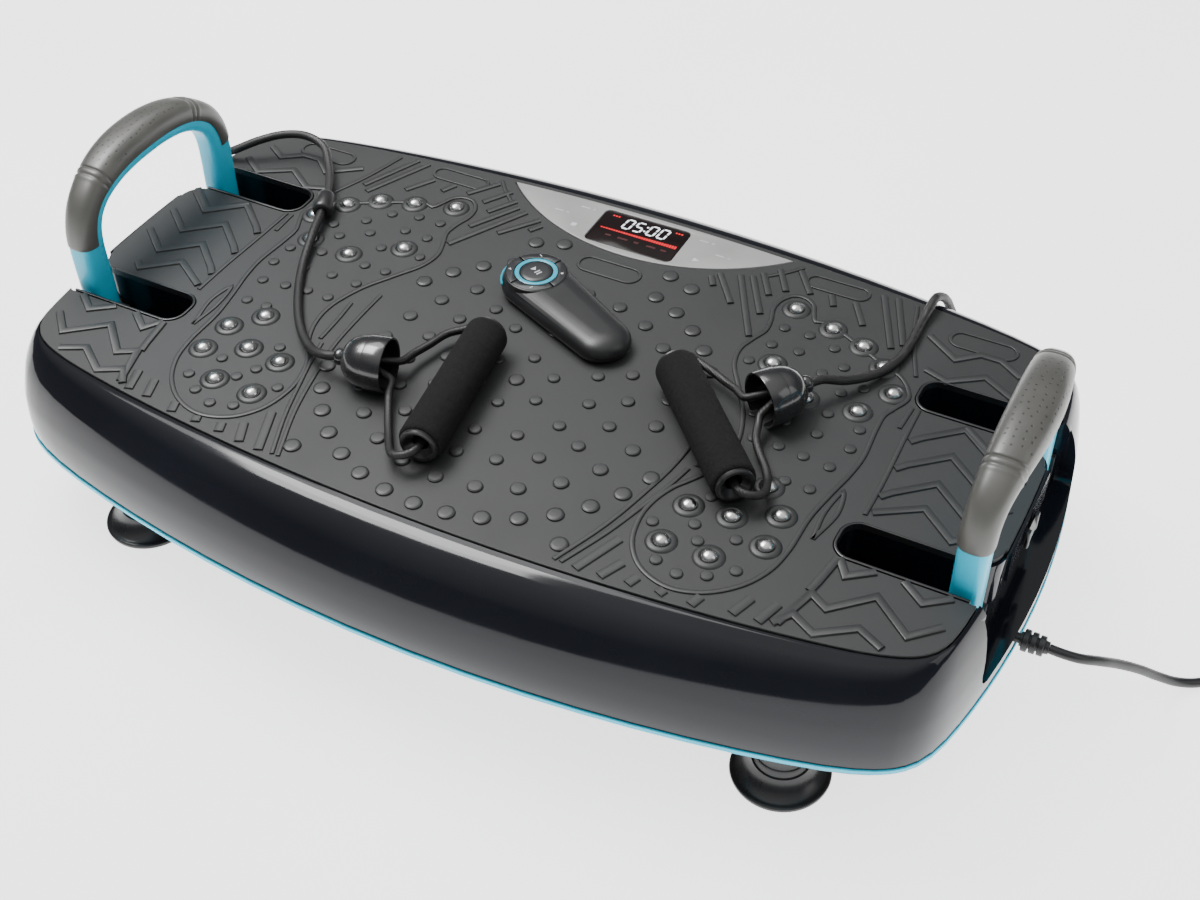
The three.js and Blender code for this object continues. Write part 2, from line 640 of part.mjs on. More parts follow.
const RIGHT_BAND = [[300, 208.4, 58], [299.4, 215.5, 58.3], [294, 220.5, 61.5], [284, 221.5, 68],
  [270, 222, 79], [257.5, 221.5, 94], [249.5, 217.5, 111], [246, 210, 126.5],
  [244.5, 200, 141], [243, 189, 151.5], [241, 178, 157.5], [240.5, 166, 157],
  [240, 150, ON_DECK], [241, 124, ON_DECK], [239, 100, ON_DECK], [231, 77, ON_DECK + 2],
  [216, 55, ON_DECK + 7], [203, 42.2, ON_DECK + 13], [197.1, 34.3, BELL_Z]];
const bandTube = (points, steps) => tube(points, BAND_RADIUS, BAND_RADIUS, 8, steps);

// Bell that joins the band to the loop: neck at -X, mouth at +X, lying on the deck.
function bandBell() {
  const shape = turned([[0, 0], [6, 0], [8, 2], [8, 9], [13, 12], [19, 20], [20.5, 30], [20, 41],
    [0, 41]], 16);
  const flat = solid(box(-60, 60, -60, 60, -60, DECK_TOP + GAP - BELL_Z));
  return geometryOf(cut(solid(shape.rotateY(Math.PI / 2)), flat));
}

const LEFT_BELL = { at: [-118, -90], heading: 0.187 };
const RIGHT_BELL = { at: [196.5, 33.5], heading: -2.194 };
const LEFT_FOAM = { at: [-25.5, -79.5], heading: -1.427 };
const RIGHT_FOAM = { at: [147, -35.5], heading: -0.813 };

// A point given along and across a frame's heading.
function inFrame(frame, along, across, z) {
  const [c, s] = [Math.cos(frame.heading), Math.sin(frame.heading)];
  return [frame.at[0] + c * along - s * across, frame.at[1] + s * along + c * across, z];
}

function foamGrip() {
  const end = FOAM_HALF;
  return turned([[BORE_RADIUS + 1, -end], [FOAM_RADIUS - 1, -end], [FOAM_RADIUS, -end + 2],
    [FOAM_RADIUS, end - 2], [FOAM_RADIUS - 1, end], [BORE_RADIUS + 1, end],
    [BORE_RADIUS + 1, -end]], 16).rotateY(Math.PI / 2);
}

function gripCore() {
  const inner = BORE_RADIUS - 2;
  const outer = BORE_RADIUS + 1 - GAP;
  const end = FOAM_HALF + 2.5;
  const rim = 14;
  return turned([[inner, -end], [rim, -end], [rim, -FOAM_HALF - GAP], [outer, -FOAM_HALF - GAP],
    [outer, FOAM_HALF + GAP], [rim, FOAM_HALF + GAP], [rim, end], [inner, end],
    [inner, -end]], 14).rotateY(Math.PI / 2);
}

const FOAM_Z = DECK_TOP + GAP + FOAM_RADIUS;
const BELL_END = 45.2; // clear of the bell's wide end

// Round one end of the grip, from its bore outwards to the hand given by side.
function foamTurn(foam, end, side) {
  return [0, 30, 60, 90, 120, 150].map((degrees) => {
    const a = THREE.MathUtils.degToRad(degrees);
    const along = FOAM_HALF + 3 + 10 * Math.sin(a);
    const across = 10 - 10 * Math.cos(a);
    return inFrame(foam, end * along, side * across, FOAM_Z - 5.5 * (degrees / 150) ** 2);
  });
}

// Each loop runs from the bell through the grip's bore and back to the bell.
function loopPath(bell, foam, side, near, far) {
  const start = inFrame(bell, BELL_END, -side * 12.5, 163.5);
  const end = inFrame(bell, BELL_END, side * 9, 163.5);
  const bore = [-45, 0, 45].map((u) => inFrame(foam, u, 0, FOAM_Z));
  return [start, ...near, ...foamTurn(foam, -1, side).reverse(), ...bore,
    ...foamTurn(foam, 1, side), ...far, end];
}

const LEFT_LOOP = loopPath(LEFT_BELL, LEFT_FOAM, -1,
  [[-75, -57, 161], [-70.5, -41, 160], [-65.5, -25, 160]],
  [[-49, -131, 156.5], [-60, -114, 157], [-68.5, -99, 160]]);
const RIGHT_LOOP = loopPath(RIGHT_BELL, RIGHT_FOAM, 1,
  [[150.5, 11.2, 161.5], [141, 16.5, 160], [129, 22, 160]],
  [[204.5, -58.5, 155.8], [198, -47, 155.5], [189, -36, 156], [182, -26, 158], [179, -16, 161]]);
const loopTube = (points) => tube(points, LOOP_RADIUS, LOOP_RADIUS, 8, LOOP_STEPS);

function bandSlider() {
  const shape = turned([[4.1, -11], [7.5, -11], [8.5, -8], [8.5, 8], [7.5, 11], [4.1, 11],
    [4.1, -11]], 14);
  return shape.rotateY(Math.PI / 2);
}

// Mains lead: ribbed relief, a free run to the floor, and the rest wound up beside the plate.
const RELIEF_LENGTH = 24;
const RELIEF_START = 383;
function strainRelief() {
  const profile = [[0, 0], [5, 0], [5, 5], [6.5, 6]];
  for (let rib = 0; rib < 3; rib += 1) {
    const at = 8 + rib * 5;
    const r = 6.5 - rib * 0.6;
    profile.push([r, at], [4.6, at + 0.5], [4.6, at + 2], [r - 0.6, at + 2.5]);
  }
  profile.push([4.6, RELIEF_LENGTH], [0, RELIEF_LENGTH]);
  return turned(profile, 12).rotateY(Math.PI / 2);
}

const ON_FLOOR = CORD_RADIUS + GAP;
const LEAD_EXIT = RELIEF_START + RELIEF_LENGTH + GAP;
const LEAD = [[LEAD_EXIT, RELIEF_Y, RELIEF_Z], [LEAD_EXIT + 7, RELIEF_Y, RELIEF_Z - 0.4],
  [426, -46, 78], [439, -34, 69], [451, -18, 55], [464, -1, 38], [477, 14, 21], [490, 26, 9],
  [503, 36, 4.3], [517, 50, ON_FLOOR], [531, 68, ON_FLOOR], [545, 84, ON_FLOOR],
  [558, 95, ON_FLOOR], [571, 100, ON_FLOOR]];
const COIL = { x: 574, y: 153.4, outer: 49, inner: 23, height: 15 };
const PLUG = { x: 554.9, y: 141.3, z: COIL.height + GAP, heading: -1.222 };

function leadCoil() {
  const { outer, inner, height } = COIL;
  return turned([[inner, GAP], [outer, GAP], [outer, height], [inner, height], [inner, GAP]], 20);
}

function leadPlug() {
  const body = new THREE.Shape();
  body.moveTo(-22, -9);
  body.lineTo(10, -12);
  body.lineTo(16, -12);
  body.lineTo(16, 12);
  body.lineTo(10, 12);
  body.lineTo(-22, 9);
  const z0 = PLUG.z;
  let plug = solid(prism(body, z0, z0 + 14));
  for (const y of [-9.5, 9.5]) {
    plug = join(plug, solid(rod('x', 2.2, 14, 34, y * 0.8, z0 + 7, 10)));
  }
  return geometryOf(plug);
}

// ---- Assembly -----------------------------------------------------------------------------------
const plate = new THREE.Group();

function add(name, geometry, material, parent = plate) {
  const mesh = new THREE.Mesh(geometry, material);
  mesh.name = name;
  parent.add(mesh);
  return mesh;
}

function place(x, y, z, turn = 0) {
  const group = new THREE.Group();
  group.position.set(x, y, z);
  group.rotation.z = turn;
  plate.add(group);
  return group;
}

add('upper_cover', upperCover(), GLOSS_BLACK);
add('base_pan', basePan(), MATT_BLACK);
add('trim_band', trimBand(), CYAN);
add('deck_mat', deckMat(), MAT_RUBBER);
add('display_panel', displayPanel(), SILVER);
add('display_window', displayWindow(), GLASS);
add('control_board', boardBox(CONTROL_BOARD), GREEN_BOARD);
add('power_board', boardBox(POWER_BOARD), GREEN_BOARD);

add('motor_body', motorBody(), STEEL);
add('motor_bracket', motorBracket(), CAST_IRON);
add('motor_shaft', motorShaft(), STEEL);
add('drive_belt', driveBelt(), CORD_BLACK);
add('eccentric_shaft', eccentricShaft(), STEEL);
add('shaft_pulley', shaftPulley(), CAST_IRON);
for (const [side, name] of [[-1, 'left'], [1, 'right']]) {
  add(`flyweight_${name}`, flyweight(side * 56), CAST_IRON);
  add(`bearing_block_${name}`, bearingBlock(side * 96), CAST_IRON);
}

for (const [side, name] of [[-1, 'left'], [1, 'right']]) {
  const hand = place(side * HINGE_X, 0, 0);
  add(`${name}_handle_frame`, handleFrame(), CYAN, hand);
  add(`${name}_handle_grip`, handleGrip(side), GRIP_RUBBER, hand);
  add(`${name}_handle_catch`, handleCatch(side), REMOTE_GREY);
  for (const [row, rowName] of [[-1, 'front'], [1, 'rear']]) {
    add(`${name}_${rowName}_slide_block`, slideBlock(row), MATT_BLACK, hand);
    add(`${name}_${rowName}_pivot_pin`, pivotPin(row), STEEL, hand);
    add(`${name}_${rowName}_foot`, foot(), FOOT_RUBBER, place(side * FOOT_X, row * FOOT_Y, 0));
  }
}

const remoteTurn = Math.atan2(REMOTE_TAIL[1] - REMOTE_HEAD[1], REMOTE_TAIL[0] - REMOTE_HEAD[0]);
const remote = place(REMOTE_HEAD[0], REMOTE_HEAD[1], 0, remoteTurn);
add('remote_base', remoteBase(), REMOTE_GREY, remote);
add('remote_top', remoteTop(), REMOTE_DARK, remote);
add('remote_centre_key', centreKey(), REMOTE_DARK, remote);
for (let i = 0; i < KEY_COUNT; i += 1) {
  add(`remote_ring_key_${i + 1}`, ringKey(i), REMOTE_DARK, remote);
}

for (const [name, bell, foam, band, loop] of [
  ['left', LEFT_BELL, LEFT_FOAM, LEFT_BAND, LEFT_LOOP],
  ['right', RIGHT_BELL, RIGHT_FOAM, RIGHT_BAND, RIGHT_LOOP]]) {
  add(`${name}_band_cord`, bandTube(band, name === 'left' ? 40 : 28), CORD_BLACK);
  add(`${name}_band_loop`, loopTube(loop), CORD_BLACK);
  add(`${name}_band_bell`, bandBell(), GLOSS_BLACK, place(...bell.at, BELL_Z, bell.heading));
  const grip = place(...foam.at, FOAM_Z, foam.heading);
  add(`${name}_band_foam`, foamGrip(), FOAM, grip);
  add(`${name}_band_core`, gripCore(), MATT_BLACK, grip);
}
const slider = place(-241.6, 73.9, ON_DECK + 5.1, Math.atan2(-24, 10));
add('left_band_slider', bandSlider(), MATT_BLACK, slider);

add('strain_relief', strainRelief(), MATT_BLACK, place(RELIEF_START, RELIEF_Y, RELIEF_Z));
add('power_cord', tube(LEAD, CORD_RADIUS, CORD_RADIUS, 8, 24), CORD_BLACK);
add('power_coil', leadCoil(), CORD_BLACK, place(COIL.x, COIL.y, 0));
add('power_plug', leadPlug(), MATT_BLACK, place(PLUG.x, PLUG.y, 0, PLUG.heading));

export default plate;
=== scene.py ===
import math

import bpy
import bmesh
from mathutils import Matrix, Vector


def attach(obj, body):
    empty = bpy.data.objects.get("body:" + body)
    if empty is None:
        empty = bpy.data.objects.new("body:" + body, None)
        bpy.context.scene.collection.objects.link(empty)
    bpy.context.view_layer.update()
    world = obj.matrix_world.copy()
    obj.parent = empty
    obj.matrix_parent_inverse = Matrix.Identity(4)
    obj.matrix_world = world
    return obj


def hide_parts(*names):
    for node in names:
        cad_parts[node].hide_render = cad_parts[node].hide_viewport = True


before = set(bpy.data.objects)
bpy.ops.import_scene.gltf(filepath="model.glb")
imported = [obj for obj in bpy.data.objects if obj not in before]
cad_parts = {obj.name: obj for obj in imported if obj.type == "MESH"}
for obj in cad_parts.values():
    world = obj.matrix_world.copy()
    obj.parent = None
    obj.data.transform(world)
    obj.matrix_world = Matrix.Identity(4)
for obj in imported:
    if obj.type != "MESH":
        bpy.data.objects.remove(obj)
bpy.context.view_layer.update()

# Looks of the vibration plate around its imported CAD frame. Lengths here are in millimetres and
# turn into metres when a mesh is made. +X is the end with the mains lead, +Y the display side.
MM = 0.001
DECK = 150.0  # top of the tread
GAP = 0.3  # air under what rests on something
SIDES = (("left", -1), ("right", 1))
ROWS = (("front", -1), ("rear", 1))


# ---- Camera ----
CAMERA_ANGLES = (28.0, 43.23, -1.01)  # azimuth, elevation and roll in degrees
CAMERA_AIM = (0.0876, -0.0763, DECK * MM)
CAMERA_DISTANCE = 1.1354
CAMERA_LENS = 49.48


def add_object(name, data):
    obj = bpy.data.objects.new(name, data)
    bpy.context.scene.collection.objects.link(obj)
    return obj


def make_camera():
    azimuth, elevation, roll = (math.radians(a) for a in CAMERA_ANGLES)
    flat = math.cos(elevation)
    back = Vector((math.sin(azimuth) * flat, -math.cos(azimuth) * flat, math.sin(elevation)))
    right = Vector((math.cos(azimuth), math.sin(azimuth), 0))
    up = back.cross(right)
    rolled_right = right * math.cos(roll) + up * math.sin(roll)
    rolled_up = up * math.cos(roll) - right * math.sin(roll)
    data = bpy.data.cameras.new("camera")
    data.sensor_width = 36.0
    data.lens = CAMERA_LENS
    data.clip_start = 0.05
    matrix = Matrix((rolled_right, rolled_up, back)).transposed().to_4x4()
    matrix.translation = Vector(CAMERA_AIM) + back * CAMERA_DISTANCE
    camera = add_object("camera", data)
    camera.matrix_world = matrix
    bpy.context.scene.camera = camera


make_camera()


# ---- Paths ----
def spline(points, step=2.0):
    """Points of a centripetal Catmull-Rom curve through points, about step apart."""
    pts = [Vector(p) for p in points]
    pts = [pts[0] * 2 - pts[1]] + pts + [pts[-1] * 2 - pts[-2]]
    out = []
    for p0, p1, p2, p3 in zip(pts, pts[1:], pts[2:], pts[3:]):
        t0 = 0.0
        t1 = t0 + (p1 - p0).length ** 0.5
        t2 = t1 + (p2 - p1).length ** 0.5
        t3 = t2 + (p3 - p2).length ** 0.5
        count = max(1, round((p2 - p1).length / step))
        for i in range(count):
            t = t1 + (t2 - t1) * i / count
            a1 = p0 * ((t1 - t) / (t1 - t0)) + p1 * ((t - t0) / (t1 - t0))
            a2 = p1 * ((t2 - t) / (t2 - t1)) + p2 * ((t - t1) / (t2 - t1))
            a3 = p2 * ((t3 - t) / (t3 - t2)) + p3 * ((t - t2) / (t3 - t2))
            b1 = a1 * ((t2 - t) / (t2 - t0)) + a2 * ((t - t0) / (t2 - t0))
            b2 = a2 * ((t3 - t) / (t3 - t1)) + a3 * ((t - t1) / (t3 - t1))
            out.append(b1 * ((t2 - t) / (t2 - t1)) + b2 * ((t - t1) / (t2 - t1)))
    out.append(pts[-2].copy())
    return out


def length_of(path):
    return sum((b - a).length for a, b in zip(path, path[1:]))


def polar(cx, cy, radius, degrees):
    a = math.radians(degrees)
    return cx + radius * math.cos(a), cy + radius * math.sin(a)


def arc(cx, cy, radius, start, end, count):
    return [polar(cx, cy, radius, start + (end - start) * i / count) for i in range(count + 1)]


# ---- Cords ----
def cord_curve(name, path, radius):
    """A round cord along path, as a curve in metres."""
    data = bpy.data.curves.new(name, "CURVE")
    data.dimensions = "3D"
    data.bevel_depth = radius * MM
    data.bevel_resolution = 4
    data.use_fill_caps = True
    line = data.splines.new("POLY")
    line.points.add(len(path) - 1)
    for point, spot in zip(line.points, path):
        point.co = (*(Vector(spot) * MM), 1)
    return add_object(name, data)


LEAD_RADIUS = 3.5
RELIEF = {"x": 383.0, "y": -50.0, "z": 82.0, "length": 24.0}
COIL = {"x": 574.0, "y": 153.4, "outer": 45.2, "pitch": 7.05, "turns": 2.5,
        "layer": 7.4}
ON_FLOOR = LEAD_RADIUS + GAP
LEAD_EXIT = RELIEF["x"] + RELIEF["length"] + GAP
LEAD_FREE = [(LEAD_EXIT, -50, 82), (LEAD_EXIT + 7, -50, 81.6), (426, -46, 78), (439, -34, 69),
             (451, -18, 55), (464, -1, 38), (477, 14, 21), (490, 26, 9), (503, 36, 4.3),
             (517, 50, ON_FLOOR), (531, 68, ON_FLOOR), (545, 84, ON_FLOOR), (558, 95, ON_FLOOR),
             (571, 100, ON_FLOOR)]


def lead_coil():
    """Two flat spirals on top of each other, inwards then outwards, and the end up to the plug."""
    outer, turned = COIL["outer"], 360 * COIL["turns"]
    inner = outer - COIL["pitch"] * COIL["turns"]
    steps = 60
    points = []

    def lay(radius, degrees, lift=0.0):
        points.append((*polar(COIL["x"], COIL["y"], radius, degrees), ON_FLOOR + lift))

    for degrees, radius in ((-62, 50.0), (-35, 47.2), (-12, outer)):
        lay(radius, degrees)
    for i in range(1, steps + 1):
        share = i / steps
        lay(outer + (inner - outer) * share, turned * share)
    for i in range(1, 7):
        rise = i / 6
        rise = rise * rise * (3 - 2 * rise)
        lay(inner, turned + 15 * i, COIL["layer"] * rise)
    for i in range(1, steps + 1):
        share = i / steps
        lift = COIL["layer"] + 0.7 * max(0.0, (share - 0.96) / 0.04)
        lay(inner + (outer - inner) * share, turned + 90 + turned * share, lift)
    end = 2 * turned + 90
    tail = 28.0
    hub = polar(COIL["x"], COIL["y"], outer - tail, end)
    for degrees, z in ((20, 14.0), (40, 16.8), (60, 19.2), (80, 21.0), (95, 21.9), (110, 22.2)):
        points.append((*polar(*hub, tail, end + degrees), z))
    return points


LEAD_PATH = spline(LEAD_FREE + lead_coil(), 3.0)
lead = cord_curve("mains_lead", LEAD_PATH, LEAD_RADIUS)

BAND_RADIUS = 3.5
LOOP_RADIUS = 3.0
ON_DECK = DECK + BAND_RADIUS + 0.6
BELL_Z = DECK + GAP + 17.7
FOAM_RADIUS = 16.0
FOAM_HALF = 62.0
FOAM_Z = DECK + GAP + FOAM_RADIUS
LOOP_MOUTH = 65.0  # along the foam grip, where its loop turns back
LOOP_TURN = 10.0  # radius of that turn
LOOP_DROP = 5.5  # how far the loop drops over it
LEFT_BAND = [(-300, 208.4, 58), (-300.5, 215.5, 58.3), (-307, 221, 61.5), (-322, 220, 69),
             (-341, 209, 79), (-360, 193, 90), (-377, 172, 102), (-387, 148, 113),
             (-390, 126, 125), (-384, 110, 139), (-371, 103, 151), (-354, 107, 160),
             (-337, 119, 167), (-320, 132, 170), (-303, 139, 169.5), (-285, 137, 166),
             (-269, 121, 161), (-252.3, 97, ON_DECK + 5), (-240, 70, ON_DECK + 5),
             (-229, 40, ON_DECK + 4), (-214, 2, ON_DECK), (-193, -34, ON_DECK),
             (-170, -63, ON_DECK + 1), (-145, -84, ON_DECK + 6), (-128, -91.4, ON_DECK + 12.5),
             (-118.9, -90.2, BELL_Z)]
RIGHT_BAND = [(300, 208.4, 58), (299.4, 215.5, 58.3), (294, 220.5, 61.5), (284, 221.5, 68),
              (270, 222, 79), (257.5, 221.5, 94), (249.5, 217.5, 111), (246, 210, 126.5),
              (244.5, 200, 141), (243, 189, 151.5), (241, 178, 157.5), (240.5, 166, 157),
              (240, 150, ON_DECK), (241, 124, ON_DECK), (239, 100, ON_DECK),
              (231, 77, ON_DECK + 2), (216, 55, ON_DECK + 7), (203, 42.2, ON_DECK + 13),
              (197.1, 34.3, BELL_Z)]
LEFT_BELL = ((-118, -90), 0.187)
RIGHT_BELL = ((196.5, 33.5), -2.194)
LEFT_FOAM = ((-25.5, -79.5), -1.427)
RIGHT_FOAM = ((147, -35.5), -0.813)


def in_frame(spot, along, across, z):
    """A point along and across a piece that lies at spot, a place and a heading."""
    (x, y), heading = spot
    c, s = math.cos(heading), math.sin(heading)
    return x + c * along - s * across, y + s * along + c * across, z


def foam_turn(foam, end, side):
    """Round one end of the foam grip, from its bore outwards."""
    points = []
    for degrees in range(0, 151, 30):
        a = math.radians(degrees)
        along, across = LOOP_MOUTH + LOOP_TURN * math.sin(a), LOOP_TURN - LOOP_TURN * math.cos(a)
        z = FOAM_Z - LOOP_DROP * (degrees / 150) ** 2
        points.append(in_frame(foam, end * along, side * across, z))
    return points


def loop_path(bell, foam, side, near, far):
    """From inside the bell's mouth through the grip and back."""
    start = [in_frame(bell, 29, -side * 4, 168), in_frame(bell, 38, -side * 7.5, 166),
             in_frame(bell, 45.2, -side * 12.5, 163.5)]
    end = [in_frame(bell, 45.2, side * 9, 163.5), in_frame(bell, 38, side * 7, 166),
           in_frame(bell, 29, side * 4, 168)]
    bore = [in_frame(foam, u, 0, FOAM_Z) for u in (-45, 0, 45)]
    return spline([*start, *near, *reversed(foam_turn(foam, -1, side)), *bore,
                   *foam_turn(foam, 1, side), *far, *end])


BAND_PATHS = {"left": spline(LEFT_BAND), "right": spline(RIGHT_BAND)}
LOOP_PATHS = {
    "left": loop_path(LEFT_BELL, LEFT_FOAM, -1, [(-75, -57, 161), (-70.5, -41, 160),
                                                 (-65.5, -25, 160)],
                      [(-49, -131, 156.5), (-60, -114, 157), (-68.5, -99, 160)]),
    "right": loop_path(RIGHT_BELL, RIGHT_FOAM, 1, [(150.5, 11.2, 161.5), (141, 16.5, 160),
                                                   (129, 22, 160)],
                       [(204.5, -58.5, 155.8), (198, -47, 155.5), (189, -36, 156),
                        (182, -26, 158), (179, -16, 161)]),
}
bands = {side: cord_curve(f"{side}_band", BAND_PATHS[side], BAND_RADIUS) for side, _ in SIDES}
loops = {side: cord_curve(f"{side}_loop", LOOP_PATHS[side], LOOP_RADIUS) for side, _ in SIDES}


# ---- Mesh helpers ----
def mesh_object(name, verts, faces):
    mesh = bpy.data.meshes.new(name)
    mesh.from_pydata([Vector(v) * MM for v in verts], [], faces)
    build = bmesh.new()
    build.from_mesh(mesh)
    bmesh.ops.recalc_face_normals(build, faces=build.faces)
    build.to_mesh(mesh)
    build.free()
    return add_object(name, mesh)


def smooth(obj, degrees=35):
    obj.data.shade_smooth()
    obj.data.set_sharp_from_angle(angle=math.radians(degrees))
    return obj


def bake(obj):
    """Applies an object's modifiers."""
    bpy.context.view_layer.update()
    graph = bpy.context.evaluated_depsgraph_get()
    mesh = bpy.data.meshes.new_from_object(obj.evaluated_get(graph))
    obj.modifiers.clear()
    obj.data = mesh
    return obj


def boolean(obj, others, operation="DIFFERENCE"):
    """Cuts the others out of obj, or adds them, and removes them."""
    for other in others:
        modifier = obj.modifiers.new("boolean", "BOOLEAN")
        modifier.operation = operation
        modifier.solver = "EXACT"
        modifier.object = other
    bake(obj)
    for other in others:
        bpy.data.objects.remove(other)
    return obj


def bevel(obj, width, segments=2, degrees=40):
    modifier = obj.modifiers.new("bevel", "BEVEL")
    modifier.width = width * MM
    modifier.segments = segments
    modifier.limit_method = "ANGLE"
    modifier.angle_limit = math.radians(degrees)
    return obj


def weighted(obj):
    """Keeps big flat faces flat where they meet rounded edges."""
    modifier = obj.modifiers.new("normals", "WEIGHTED_NORMAL")
    modifier.keep_sharp = True
    modifier.weight = 90
    return bake(obj)


def join(name, objs):
    """One object out of several, which are removed."""
    build = bmesh.new()
    for obj in objs:
        part = obj.data.copy()
        part.transform(obj.matrix_world)
        build.from_mesh(part)
        bpy.data.meshes.remove(part)
        bpy.data.objects.remove(obj)
    mesh = bpy.data.meshes.new(name)
    build.to_mesh(mesh)
    build.free()
    return add_object(name, mesh)


def place(obj, x=0.0, y=0.0, z=0.0, turn=0.0, tip=None):
    """Moves a mesh's vertices: first tip, a rotation matrix, then turn about Z, then the offset."""
    matrix = Matrix.Translation(Vector((x, y, z)) * MM) @ Matrix.Rotation(turn, 4, "Z")
    if tip is not None:
        matrix = matrix @ tip
    obj.data.transform(matrix)
    return obj


# Tips that lay a turned body along an axis.
ALONG_X = Matrix.Rotation(math.pi / 2, 4, "Y")
ALONG_Y = Matrix.Rotation(math.pi / 2, 4, "X")


def loft(name, rings, capped=True):
    """A skin over rings of equally many points. capped closes the first and last ring."""
    count = len(rings[0])
    verts = [p for ring in rings for p in ring]
    faces = []
    for k in range(len(rings) - 1):
        for i in range(count):
            j = (i + 1) % count
            a = k * count
            faces.append((a + i, a + j, a + count + j, a + count + i))
    if capped:
        faces.append(tuple(reversed(range(count))))
        faces.append(tuple(range((len(rings) - 1) * count, len(rings) * count)))
    return mesh_object(name, verts, faces)


def prism(name, plan, z0, z1):
    """A plan in X and Y pushed from z0 to z1."""
    return loft(name, [[(x, y, z) for x, y in plan] for z in (z0, z1)])


def lathe(name, profile, segments=64):
    """A turned body about Z from (radius, height) pairs. It is closed where the radius is 0,
    or where the profile comes back to its first point."""
    closed = profile[0] == profile[-1]
    rows = profile[:-1] if closed else profile
    verts = []
    index = []
    for r, z in rows:
        if r < 1e-6:
            index.append([len(verts)] * segments)
            verts.append((0, 0, z))
        else:
            index.append([len(verts) + i for i in range(segments)])
            verts += [(*polar(0, 0, r, 360 * i / segments), z) for i in range(segments)]
    faces = []
    pairs = list(zip(index, index[1:])) + ([(index[-1], index[0])] if closed else [])
    for low, high in pairs:
        for i in range(segments):
            j = (i + 1) % segments
            face = list(dict.fromkeys((low[i], low[j], high[j], high[i])))
            if len(face) > 2:
                faces.append(face)
    return mesh_object(name, verts, faces)


def mirrored(rows, middle=()):
    """Rows of (radius, height), the middle, then the rows' mirror image in height 0."""
    return [*rows, *middle, *[(r, -z) for r, z in reversed(rows)]]


def rounded_rect(width, depth, corner, count=6, cx=0.0, cy=0.0):
    w, d = width / 2 - corner, depth / 2 - corner
    points = []
    for x, y, start in ((w, d, 0), (-w, d, 90), (-w, -d, 180), (w, -d, 270)):
        points += arc(cx + x, cy + y, corner, start, start + 90, count)
    return points


def sweep(name, path, section):
    """A section carried along a path that lies flat across X. section(s, total, point) gives
    (outward, along X) pairs at arc length s."""
    side = Vector((1, 0, 0))
    total = length_of(path)
    rings = []
    s = 0.0
    for i, point in enumerate(path):
        ahead = path[min(i + 1, len(path) - 1)] - path[max(i - 1, 0)]
        normal = side.cross(ahead.normalized())
        rings.append([point + normal * a + side * b for a, b in section(s, total, point)])
        if i + 1 < len(path):
            s += (path[i + 1] - point).length
    return loft(name, rings)


# ---- Materials ----
def socket(node, name, value):
    node.inputs[name].default_value = value


class Shader:
    """A small helper around one node tree."""

    def __init__(self, name):
        self.material = bpy.data.materials.new(name)
        self.material.use_nodes = True
        self.tree = self.material.node_tree
        self.principled = self.tree.nodes["Principled BSDF"]
        self.coords = self.tree.nodes.new("ShaderNodeTexCoord")

    def add(self, kind, links=(), **values):
        node = self.tree.nodes.new(kind)
        for key, value in values.items():
            if key.startswith("in_"):
                node.inputs[key[3:].replace("_", " ")].default_value = value
            else:
                setattr(node, key, value)
        for name, source in links:
            self.tree.links.new(source, node.inputs[name])
        return node

    def on_object(self, kind, **values):
        """A texture node that reads the object's own coordinates."""
        return self.add(kind, [("Vector", self.coords.outputs["Object"])], **values)

    def noise(self, scale, detail=4.0):
        node = self.on_object("ShaderNodeTexNoise", in_Scale=scale, in_Detail=detail,
                              in_Roughness=0.55)
        return node.outputs["Fac"]

    def calc(self, operation, *terms):
        """A math node over sockets and plain numbers."""
        node = self.add("ShaderNodeMath", operation=operation)
        for i, term in enumerate(terms):
            if isinstance(term, float):
                socket(node, i, term)
            else:
                self.tree.links.new(term, node.inputs[i])
        return node.outputs[0]

    def ramp(self, source, low, high, start=0.3, end=0.7):
        node = self.add("ShaderNodeValToRGB", [("Fac", source)])
        first, second = node.color_ramp.elements
        first.position, second.position = start, end
        first.color, second.color = (*low, 1), (*high, 1)
        return node.outputs["Color"]

    def spread(self, source, low, high, start=0.25, end=0.75, **values):
        """Takes source from the range start to end into the range low to high."""
        node = self.add("ShaderNodeMapRange", [("Value", source)], in_From_Min=start,
                        in_From_Max=end, in_To_Min=low, in_To_Max=high, **values)
        return node.outputs["Result"]

    def bump(self, height, strength, distance, normal=None):
        links = [("Height", height)] + ([("Normal", normal)] if normal else [])
        node = self.add("ShaderNodeBump", links, in_Strength=strength, in_Distance=distance)
        return node.outputs["Normal"]

    def connect(self, name, source):
        self.tree.links.new(source, self.principled.inputs[name])


def scaled(color, factor):
    return tuple(min(1.0, c * factor) for c in color)


def surface(name, color, rough, metal=0.0, vary=0.14, patch=26.0, grain=1400.0, bump=0.12,
            depth=0.00012, spread=0.06, coat=0.0, shine=0.5):
    """A moulded, cast or painted surface: patchy colour, uneven gloss and a fine grain."""
    sh = Shader(name)
    cloudy = sh.noise(patch, 5.0)
    fine = sh.noise(grain, 3.0)
    sh.connect("Base Color", sh.ramp(cloudy, scaled(color, 1 - vary), scaled(color, 1 + vary)))
    sh.connect("Roughness", sh.spread(cloudy, max(0.02, rough - spread), rough + spread))
    sh.connect("Normal", sh.bump(fine, bump, depth))
    socket(sh.principled, "Metallic", metal)
    if coat:
        socket(sh.principled, "Coat Weight", coat)
        socket(sh.principled, "Coat Roughness", 0.06)
    socket(sh.principled, "Specular IOR Level", shine)
    return sh.material


